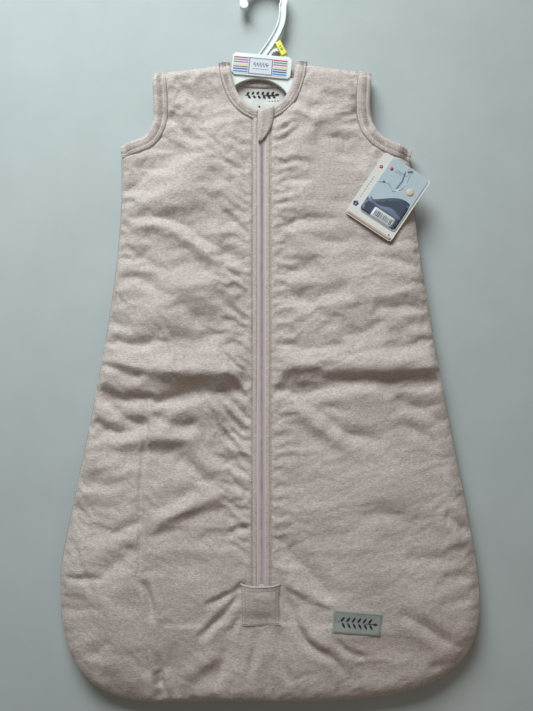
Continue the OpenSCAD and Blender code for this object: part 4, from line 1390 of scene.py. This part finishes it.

# painted shade where the front meets the back: a thin dark cord along the side seam and hem
for loopline, name in ((SIDE_LOOP_L, "left"), (SIDE_LOOP_R, "right")):
    q = resample(loopline, 4.0)
    T = tangents(q)
    n8 = 6
    Rs = np.array([[np.array([p[0] - t[1] * 0.35 * math.cos(2 * PI * j / n8), p[1] + t[0] * 0.35 * math.cos(2 * PI * j / n8), Z_SEAM - 0.1 + 0.45 * math.sin(2 * PI * j / n8)]) for j in range(n8)] for p, t in zip(q, T)])
    o = loft("side_seam_shade_" + name, Rs, M_SEAM_SHADE, closed=True)
    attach(o, "root")

# ------------------------------------------------------------------ small cloth pieces on the front


def cloth_patch(name, grid_xy, zfun, mat, where, thick=0.9, sub=1, rest=None, follow=True):
    """grid_xy is (rows, cols, 2). zfun(u, v, base height) gives the height of the top."""
    G = np.asarray(grid_xy, float)
    m, n = G.shape[:2]
    flat = G.reshape(-1, 2)
    base = drop(flat)[:, 2] if follow else np.full(len(flat), 24.9)
    u = np.repeat(np.linspace(0, 1, m), n)
    v = np.tile(np.linspace(0, 1, n), m)
    z = zfun(u, v, base)
    V = np.column_stack([flat, z])
    F = grid_faces(m, n)
    a, b, c = V[F[0][0]], V[F[0][1]], V[F[0][2]]
    if np.cross(b - a, c - a)[2] < 0:
        F = [f[::-1] for f in F]
    o = new_object(name, V, F, mat, rest=flat if rest is None else rest)
    modifier(o, "SOLIDIFY", thickness=thick * MM, offset=-1.0)
    if sub:
        modifier(o, "SUBSURF", levels=sub, render_levels=sub)
    if where:
        join(o, where)
    return o


def smoothed(base, m, n, k=3):
    b = base.reshape(m, n).copy()
    for _ in range(k):
        p = np.pad(b, 1, mode="edge")
        b = (p[:-2, 1:-1] + p[2:, 1:-1] + p[1:-1, :-2] + p[1:-1, 2:] + 2 * b) / 6
    return b.ravel()


# garage pocket over the hem end of the zip
gm, gn = 29, 31
gx0, gx1, gy0, gy1 = -31.6, 9.6, -306.0, -264.2
G = np.zeros((gm, gn, 2))
for i in range(gm):
    for j in range(gn):
        u, v = i / (gm - 1), j / (gn - 1)
        x = gx0 + (gx1 - gx0) * v
        y = gy0 + (gy1 - gy0) * u
        cx = (v - 0.5) * 2
        y -= 1.5 * (1 - abs(cx) ** 2.2) * u ** 3          # the lip sags in the middle
        x += 1.1 * math.sin(PI * u) * -cx * 0.9           # sides pull in a little
        y += 0.8 * math.sin(3.1 * cx) * (1 - u)
        G[i, j] = (x, y)


def garage_z(u, v, base):
    cx = np.abs(2 * v - 1)
    dome = (1 - cx ** 2.6) ** 0.8 * smooth(u / 0.72) ** 0.8
    r = np.random.RandomState(5)
    w = 0.35 * np.sin(9 * v + 4 * u + 1) * np.sin(PI * v) + 0.25 * np.sin(17 * u + 3 * v) * np.sin(PI * v)
    b = np.minimum(smoothed(base, gm, gn, 6), 27.0)
    b = b * (1 - 0.75 * dome) + 25.0 * 0.75 * dome
    z = b + 0.75 + 6.1 * dome + w * smooth(u / 0.2)
    z += 0.7 * smooth((u - 0.86) / 0.1) * dome            # rolled lip
    return z


garage = cloth_patch("garage_pocket", G, garage_z, M_BAND, "root", thick=0.9)
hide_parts("zip_garage")
GB = BVHTree.FromObject(garage, bpy.context.evaluated_depsgraph_get()) if False else None


def grid_line(G, zf, us, vs, lift):
    """Points on a patch at grid places, for stitches and edges."""
    m, n = G.shape[:2]
    flat = G.reshape(-1, 2)
    base = drop(flat)[:, 2]
    u = np.repeat(np.linspace(0, 1, m), n)
    v = np.tile(np.linspace(0, 1, n), m)
    Z = zf(u, v, base).reshape(m, n)
    out = []
    for uu, vv in zip(us, vs):
        i, j = uu * (m - 1), vv * (n - 1)
        i0, j0 = min(int(i), m - 2), min(int(j), n - 2)
        a, b = i - i0, j - j0
        f = lambda A: A[i0, j0] * (1 - a) * (1 - b) + A[i0 + 1, j0] * a * (1 - b) + A[i0, j0 + 1] * (1 - a) * b + A[i0 + 1, j0 + 1] * a * b
        p = f(G)
        out.append((p[0], p[1], float(f(Z)) + lift))
    return np.array(out)


t = np.linspace(0.03, 0.93, 30)
for v in (0.045, 0.105, 0.895, 0.955):
    stitch_line("root_dark2", grid_line(G, garage_z, t, np.full(30, v), 0.05), 2.2, 0.72, 0.2, 0.02)
tv = np.linspace(0.05, 0.95, 30)
stitch_line("root_dark2", grid_line(G, garage_z, np.full(30, 0.05), tv, 0.05), 2.2, 0.72, 0.2, 0.02)
stitch_line("root_pale", grid_line(G, garage_z, np.full(30, 0.90), np.linspace(0.12, 0.88, 30), 0.05), 2.2, 0.72, 0.2, 0.02)
# rolled hem of the pocket's mouth
lip = grid_line(G, garage_z, np.full(40, 0.995), np.linspace(0.0, 1.0, 40), -0.5)
n8 = 10
T = tangents(lip[:, :2])
Rs = np.array([[p + np.array([-tt[1] * 1.15 * math.cos(2 * PI * j / n8), tt[0] * 1.15 * math.cos(2 * PI * j / n8), 0.95 * math.sin(2 * PI * j / n8)]) for j in range(n8)] for p, tt in zip(lip, T)])
o = loft("garage_lip", Rs, M_BAND, closed=True, rest=Rs)
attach(o, "root")

# chin guard: a folded tab that wraps the neck end of the zip
cm, cn = 22, 16
chin_r = bez((4.2, 238), (4.0, 226), (3.2, 208), (-11.6, 197), cm - 1)
chin_l = bez((-14.6, 232), (-15.0, 222), (-14.8, 206), (-14.0, 197.6), cm - 1)
C = np.zeros((cm, cn, 2))
for i in range(cm):
    for j in range(cn):
        v = j / (cn - 1)
        C[i, j] = chin_l[i] * (1 - v) + chin_r[i] * v


def chin_z(u, v, base):
    roll = (1 - (2 * v - 1) ** 4) ** 0.5
    z = 26.3 + 3.3 * roll * smooth(u / 0.08) * (0.5 + 0.5 * smooth((1 - u) / 0.4))
    z += 0.55 * np.sin(6 * u + 2 * v) * roll
    z += 0.9 * np.exp(-((v - 0.28) / 0.2) ** 2) * roll * smooth(u / 0.1) - 0.9 * v
    return z


chin = cloth_patch("chin_guard_tab", C, chin_z, M_BAND, None, thick=1.0, follow=False)
for mod in list(chin.modifiers):
    pass
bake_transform(chin)
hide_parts("chin_guard")

# woven label at the hem
lm, ln = 13, 25
LG = np.zeros((lm, ln, 2))
ca, sa = math.cos(math.radians(-5)), math.sin(math.radians(-5))
for i in range(lm):
    for j in range(ln):
        x, y = -25 + 50 * j / (ln - 1), -12 + 24 * i / (lm - 1)
        LG[i, j] = (87 + ca * x - sa * y, -300.8 + sa * x + ca * y)
rest_l = np.array([(-25 + 50 * j / (ln - 1), -12 + 24 * i / (lm - 1)) for i in range(lm) for j in range(ln)])


def label_z(u, v, base):
    b = smoothed(base, lm, ln, 4)
    e = np.minimum(np.minimum(u, 1 - u) * 24, np.minimum(v, 1 - v) * 50)
    return b + 0.75 + 0.25 * np.exp(-((e - 2.2) / 1.0) ** 2) - 0.35 * np.exp(-e / 0.8)


label = cloth_patch("woven_label_patch", LG, label_z, M_LABEL, "root", thick=0.6, rest=rest_l)
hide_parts("woven_label")
e0, e1 = 0.045, 0.955
for us, vs in ((np.full(30, 0.09), np.linspace(0.045, 0.955, 30)), (np.full(30, 0.91), np.linspace(0.045, 0.955, 30)),
               (np.linspace(0.09, 0.91, 14), np.full(14, 0.045)), (np.linspace(0.09, 0.91, 14), np.full(14, 0.955))):
    stitch_line("root_dark2", grid_line(LG, label_z, us, vs, 0.05), 2.0, 0.7, 0.17, 0.02)


# a generic leaf sprig woven on the label
def label_shape(name, pts, mat, lift=0.12):
    us = [(p[1] + 12) / 24 for p in pts]
    vs = [(p[0] + 25) / 50 for p in pts]
    top = grid_line(LG, label_z, us, vs, lift)
    low = top - np.array([0, 0, 0.5])
    n = len(pts)
    V = np.concatenate([top, low])
    F = [tuple(range(n)), tuple(range(2 * n - 1, n - 1, -1))] + [(i, n + i, n + (i + 1) % n, (i + 1) % n) for i in range(n)]
    return V, F


def merge_shapes(name, shapes, mat, where, rest=None):
    V, F = [], []
    for v, f in shapes:
        b = sum(len(x) for x in V)
        V.append(v)
        F += [tuple(b + i for i in q) for q in f]
    o = new_object(name, np.concatenate(V), F, mat, smooth_shade=False)
    bm = bmesh.new()
    bm.from_mesh(o.data)
    bmesh.ops.recalc_face_normals(bm, faces=bm.faces)
    bm.to_mesh(o.data)
    bm.free()
    join(o, where)
    return o


def leaf(x, y, a, L, w):
    t = np.linspace(0, 1, 9)
    up = [(L * k, w * math.sin(PI * k) ** 0.8) for k in t]
    dn = [(L * k, -w * math.sin(PI * k) ** 0.8) for k in t[-2:0:-1]]
    c, s = math.cos(a), math.sin(a)
    return [(x + c * p - s * q, y + s * p + c * q) for p, q in up + dn]


shapes = []
for k in range(6):
    x = -17.0 + 5.6 * k
    shapes.append(label_shape("l", leaf(x, 0.2, 0.98, 6.6, 1.15), None))
    shapes.append(label_shape("l", leaf(x + 1.2, -0.2, -0.98, 6.6, 1.15), None))
shapes.append(label_shape("l", [(-19.5, -0.4), (16, -0.4), (16, 0.4), (-19.5, 0.4)], None))
shapes.append(label_shape("l", leaf(15.4, 0, 0.0, 5.6, 1.3), None))
merge_shapes("label_sprig", shapes, M_LABEL_DARK, "root")

# care label inside, on the left side seam
km, kn = 9, 11
KG = np.array([[(-183.8 + 36 * j / (kn - 1), -132 + 28 * i / (km - 1)) for j in range(kn)] for i in range(km)])


def care_z(u, v, base):
    return 10.6 + 0.9 * np.sin(2.6 * u + 1) * v + 0.8 * v * v


care = cloth_patch("care_label_cloth", KG, care_z, M_CARE, "root", thick=0.3, follow=False)
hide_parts("care_label")

# generic print inside the neck: a leaf sprig and a row of dots, printed on the lining
def on_lining(x, y, lift=0.18):
    h = LT.ray_cast(Vector((x, y, 90.0)), Vector((0, 0, -1)))
    return (x, y, (h[0].z if h[0] is not None else 8.7) + lift)


def print_shape(pts):
    top = np.array([on_lining(*p) for p in pts])
    low = top - np.array([0, 0, 0.5])
    n = len(pts)
    V = np.concatenate([top, low])
    return V, [tuple(range(n)), tuple(range(2 * n - 1, n - 1, -1))] + [(i, n + i, n + (i + 1) % n, (i + 1) % n) for i in range(n)]


pr = []
for k in range(6):
    x = -26.5 + 5.4 * k
    pr.append(print_shape(leaf(x, 256.9, 0.85, 4.6, 1.35)))
    pr.append(print_shape(leaf(x + 1.5, 256.3, -0.85, 4.6, 1.35)))
pr.append(print_shape([(-28, 256.3), (4.5, 256.3), (4.5, 257.0), (-28, 257.0)]))
pr.append(print_shape(leaf(4.0, 256.6, 0.0, 5.4, 1.6)))
for k in range(4):
    x = -1.6 + 3.1 * k
    pr.append(print_shape([(x + 0.75 * math.cos(a), 249.8 + 0.75 * math.sin(a)) for a in np.linspace(0, 2 * PI, 11)[:-1]]))
pr.append(print_shape([(-12.7 + 1.1 * math.cos(a), 243.6 + 1.1 * math.sin(a)) for a in np.linspace(0, 2 * PI, 15)[:-1]]))
merge_shapes("neck_print", pr, M_PRINT, "root")


# ------------------------------------------------------------------ swing tag
TX, TY, TURN = 146.0, 165.0, math.radians(-34)
ct, st = math.cos(TURN), math.sin(TURN)


def tag_xy(x, y):
    return TX + ct * x - st * y, TY + st * x + ct * y


def bow(x, y):
    """Cards curl up a little at their free corners."""
    return 0.35 * ((x + 3) / 28) ** 2 + 0.5 * smooth((-y - 30) / 50) + 0.25 * np.sin(y / 19.0)


def card(name, w, l, x0, y0, z, mat, node, lift=0.0):
    pts = []
    for cx, cy, a0 in ((x0 + w - 3, y0 + 3, -90), (x0 + w - 3, y0 + l - 3, 0), (x0 + 3, y0 + l - 3, 90), (x0 + 3, y0 + 3, 180)):
        for k in range(6):
            a = math.radians(a0 + 18 * k)
            pts.append((cx + 3 * math.cos(a), cy + 3 * math.sin(a)))
    loop_ = resample(np.array(pts + pts[:1]), 3.0)[:-1]
    hole = np.array([(2.0 * math.cos(a), 2.0 * math.sin(a)) for a in np.linspace(0, 2 * PI, 25)[:-1]])
    V, F = fill(loop_, 3.0, holes=(hole,), seed=9)
    zz = z + bow(V[:, 0], V[:, 1]) + lift * smooth(-V[:, 1] / 60)
    X = np.array([tag_xy(*p) for p in V])
    top = np.column_stack([X, zz + 0.4])
    low = np.column_stack([X, zz])
    n = len(V)
    edges = {}
    for f in F:
        for i in range(3):
            a, b = int(f[i]), int(f[(i + 1) % 3])
            edges[(a, b)] = edges.get((a, b), 0) + 1
    F2 = [tuple(int(i) for i in f) for f in F] + [tuple(int(i) + n for i in f[::-1]) for f in F]
    for (a, b) in edges:
        if (b, a) not in edges:
            F2.append((b, a, a + n, b + n))
    o = new_object(name, np.concatenate([top, low]), F2, mat, rest=np.concatenate([V, V]))
    bm = bmesh.new()
    bm.from_mesh(o.data)
    bmesh.ops.recalc_face_normals(bm, faces=bm.faces)
    for e in bm.edges:
        e.smooth = len(e.link_faces) == 2 and e.calc_face_angle(0) < 0.7
    bm.to_mesh(o.data)
    bm.free()
    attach(o, "swing_tag")
    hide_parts(node)
    return o


card("tag_card_back", 57.5, 78, -32.5, -75, 29.0, M_CARD, "tag_back_card")
card("tag_card_front", 44.5, 67, -22, -64, 29.75, M_CARD_FRONT, "tag_front_card", 0.15)


def tag_print(name, patches, z, lift, body="swing_tag"):
    """Flat prints that follow the bend of a card. patches are (outline in the tag's frame, material)."""
    mats, V, F, FM = [], [], [], []
    for pts, mat in patches:
        if mat not in mats:
            mats.append(mat)
        p = np.array(pts, float)
        closed = np.concatenate([p, p[:1]])
        loop_ = resample(closed, n=max(len(p) * 3 + 1, int(length_of(closed) / 2.5) + 1))[:-1]
        v, f = fill(loop_, 3.0, seed=2)
        b = sum(len(x) for x in V)
        X = np.array([tag_xy(*q) for q in v])
        zz = z + 0.4 + bow(v[:, 0], v[:, 1]) + lift * smooth(-v[:, 1] / 60)
        V.append(np.column_stack([X, zz]))
        F += [tuple(int(i) + b for i in q) for q in f]
        FM += [mats.index(mat)] * len(f)
    o = new_object(name, np.concatenate(V), F, mats, face_mats=FM)
    modifier(o, "SOLIDIFY", thickness=0.06 * MM, offset=-1.0)
    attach(o, body)
    return o


def rect(x0, y0, x1, y1):
    return [(x0, y0), (x1, y0), (x1, y1), (x0, y1)]


def disc(x, y, r, n=14):
    return [(x + r * math.cos(a), y + r * math.sin(a)) for a in np.linspace(0, 2 * PI, n + 1)[:-1]]


def flower(x, y, r):
    out = []
    for k in range(5):
        a = 2 * PI * k / 5 + 0.3
        out.append(disc(x + r * 0.62 * math.cos(a), y + r * 0.62 * math.sin(a), r * 0.46, 9))
    return out


pa = [(rect(-31.0, -74.2, 23.5, -71.0), M_TAN)]
pa += [(q, M_VIOLET) for q in flower(-28.0, -60.5, 3.0)]
pa += [(q, M_RED) for q in flower(-27.2, -13.0, 2.0)] + [(disc(-27.2, -13.0, 0.9, 9), M_CARD)]
pa += [(rect(-28.0, -52 + 3.1 * k, -27.3, -50.4 + 3.1 * k), M_FRAME) for k in range(9)]
pa += [(disc(19.5, -69.5, 0.9, 10), M_FRAME)]
tag_print("tag_flowers", pa, 29.0, 0.07)
# generic picture: folds of pale cloth, a dark hill under a small moon, and small ruled lines
fold_a = [(x, y) for x, y in ((-21.4, -26), (-12, -22), (-3, -27), (4, -20), (5.4, -21), (-2, -29), (-12, -24.4), (-21.4, -28.4))]
fold_b = [(x, y) for x, y in ((-4.0, -3.0), (-1.2, -14), (-2.0, -25), (-0.6, -25), (0.6, -14), (-2.2, -3.0))]
fold_c = [(x, y) for x, y in ((1.0, -2.0), (3.4, -12), (3.0, -22), (4.2, -22), (4.9, -12), (2.6, -2.0))]
tag_print("tag_picture", [(fold_a, M_SKY), (fold_b, M_FRAME), (fold_c, M_SKY)], 29.75, 0.15 + 0.03)
hill = [(-21.4, -61.0), (-21.4, -47)] + [(x, -37.5 + 8.5 * math.sin((x + 4) / 13.0) - 0.006 * (x - 8) ** 2) for x in np.linspace(-19, 20.5, 22)] + [(21.6, -38), (21.6, -61.0), (19.6, -63.2), (-19.4, -63.2)]
tag_print("tag_picture_b", [(hill, M_NAVY), (disc(13.2, -19.5, 4.2, 18), M_SAND)], 29.75, 0.15 + 0.06)
tag_print("tag_picture_c", [(rect(-13, -7.4, 2, -6.8), M_FRAME), (rect(-13, -9.4, -4, -8.8), M_FRAME), (disc(-16.6, -9.0, 1.9, 14), M_RED),
                            ([(-19.5, -52)] + [(x, -46.5 + 2.2 * math.sin(x / 5.0)) for x in np.linspace(-19, 20.5, 20)] + [(21.0, -52)], M_FRAME)],
          29.75, 0.15 + 0.09)
# bar sticker
bars = [(rect(-9, -63, 17, -52), M_WHITE)]
tag_print("tag_sticker", bars, 29.75, 0.15 + 0.12)
r = np.random.RandomState(4)
bars, x = [], -6.4
while x < 14.0:
    w = r.choice([0.35, 0.5, 0.8])
    bars.append((rect(x, -61.0, x + w, -54.2), M_INK))
    x += w + r.choice([0.4, 0.6, 0.9])
bl = tag_print("tag_bars", bars, 29.75, 0.15 + 0.16)
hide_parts("tag_bar_sticker")

# ------------------------------------------------------------------ CAD pieces that stay, with better edges and materials


def dress(node, mat, bevel=0.25, seg=2, angle=35):
    o = NODES[node]
    o.data.materials.clear()
    o.data.materials.append(mat)
    modifier(o, "WELD", merge_threshold=0.00001)
    if bevel:
        modifier(o, "BEVEL", width=bevel * MM, segments=seg, limit_method="ANGLE", angle_limit=math.radians(angle), harden_normals=False)
    for p in o.data.polygons:
        pass
    return o


dress("hanger", M_HANGER, 0.55, 3)
dress("size_marker", M_YELLOW, 0.8, 3)
dress("zip_slider", M_PULL, 0.18, 2)
dress("zip_pull", M_PULL, 0.2, 2)
dress("zip_pin", M_COIL, 0.25, 2)
dress("zip_box", M_COIL, 0.3, 2)
dress("zip_stops", M_METAL, 0.3, 2)
dress("tag_fastener", M_PIN, 0.2, 2)
dress("hanger_sticker", M_WHITE, 0.08, 1)

# prints on the hanger's sticker
HX, HY, HT = -10.0, 285.0, math.radians(-5.5)


def hang_xy(x, y):
    return HX + math.cos(HT) * x - math.sin(HT) * y, HY + math.sin(HT) * x + math.cos(HT) * y


def flat_print(name, patches, z, body):
    mats, V, F, FM = [], [], [], []
    for pts, mat in patches:
        if mat not in mats:
            mats.append(mat)
        b = len(V)
        V += [(*hang_xy(*p), z) for p in pts]
        F.append(tuple(range(b, b + len(pts))))
        FM.append(mats.index(mat))
    o = new_object(name, np.array(V), F, mats, face_mats=FM, smooth_shade=False)
    modifier(o, "SOLIDIFY", thickness=0.05 * MM, offset=-1.0)
    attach(o, body)
    return o


SX0, SX1, SY0, SY1 = -31.0, 28.0, -10.5, 8.0
st_p = []
for k in range(7):
    y = SY1 - 0.5 - 2.52 * k
    for x0, x1 in ((SX0 + 0.6, -14.6), (12.4, SX1 - 0.6)):
        st_p.append((rect(x0, y - (1.75 if k == 6 else 1.3), x1, y), M_STRIPES[k]))
flat_print("hanger_stripes", st_p, 17.28, "hanger_body")
fr = [(rect(-13.9, SY0 + 0.2, 11.9, SY0 + 1.1), M_FRAME), (rect(-13.9, SY1 - 1.1, 11.9, SY1 - 0.2), M_FRAME),
      (rect(-13.9, SY0 + 1.1, -12.9, SY1 - 1.1), M_FRAME), (rect(10.9, SY0 + 1.1, 11.9, SY1 - 1.1), M_FRAME)]
# a generic sprig and a rule in the middle of the frame
for k in range(5):
    x = -8.6 + 3.1 * k
    fr.append((leaf(x, 0.7, 0.9, 2.9, 0.62), M_FRAME))
    fr.append((leaf(x + 0.9, 0.3, -0.9, 2.9, 0.62), M_FRAME))
fr.append((rect(-9.4, 0.32, 5.4, 0.68), M_FRAME))
fr.append((leaf(5.0, 0.5, 0.0, 3.0, 0.7), M_FRAME))
fr.append((rect(-9.5, -4.6, 7.6, -4.1), M_FRAME))
flat_print("hanger_frame", fr, 17.28, "hanger_body")
# a small dot and dash on the size marker
MX, MY, MT = 11.0, 305.0, math.radians(-62)
V, F = [], []
for x0, y0, x1, y1 in ((-2.4, -1.2, -1.5, 1.2), (0.2, -1.2, 1.1, 1.2), (1.8, -1.2, 2.7, 1.2)):
    b = len(V)
    for x, y in ((x0, y0), (x1, y0), (x1, y1), (x0, y1)):
        V.append((MX + math.cos(MT) * x - math.sin(MT) * y, MY + math.sin(MT) * x + math.cos(MT) * y, 16.46))
    F.append((b, b + 1, b + 2, b + 3))
o = new_object("marker_marks", np.array(V), F, M_DARK, smooth_shade=False)
modifier(o, "SOLIDIFY", thickness=0.05 * MM, offset=-1.0)
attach(o, "hanger_body")

# ------------------------------------------------------------------ thread
for side in "LR":
    thread_mesh("thread_topstitch_" + side, "topstitch" + side, M_THREAD, side)
    thread_mesh("thread_tape_" + side, "tape" + side, M_THREAD_PALE, side)
    thread_mesh("thread_neck_ladder_" + side, "neckladder" + side, M_THREAD_MID, side)
    thread_mesh("thread_neck_dark_" + side, "neckdark" + side, M_THREAD, side)
thread_mesh("thread_bindings", "root_pale", M_THREAD_PALE, "root")
thread_mesh("thread_ladders", "root_ladder", M_THREAD_MID, "root")
thread_mesh("thread_armholes", "root_dark", M_THREAD, "root")
thread_mesh("thread_pocket", "root_dark2", M_THREAD, "root")
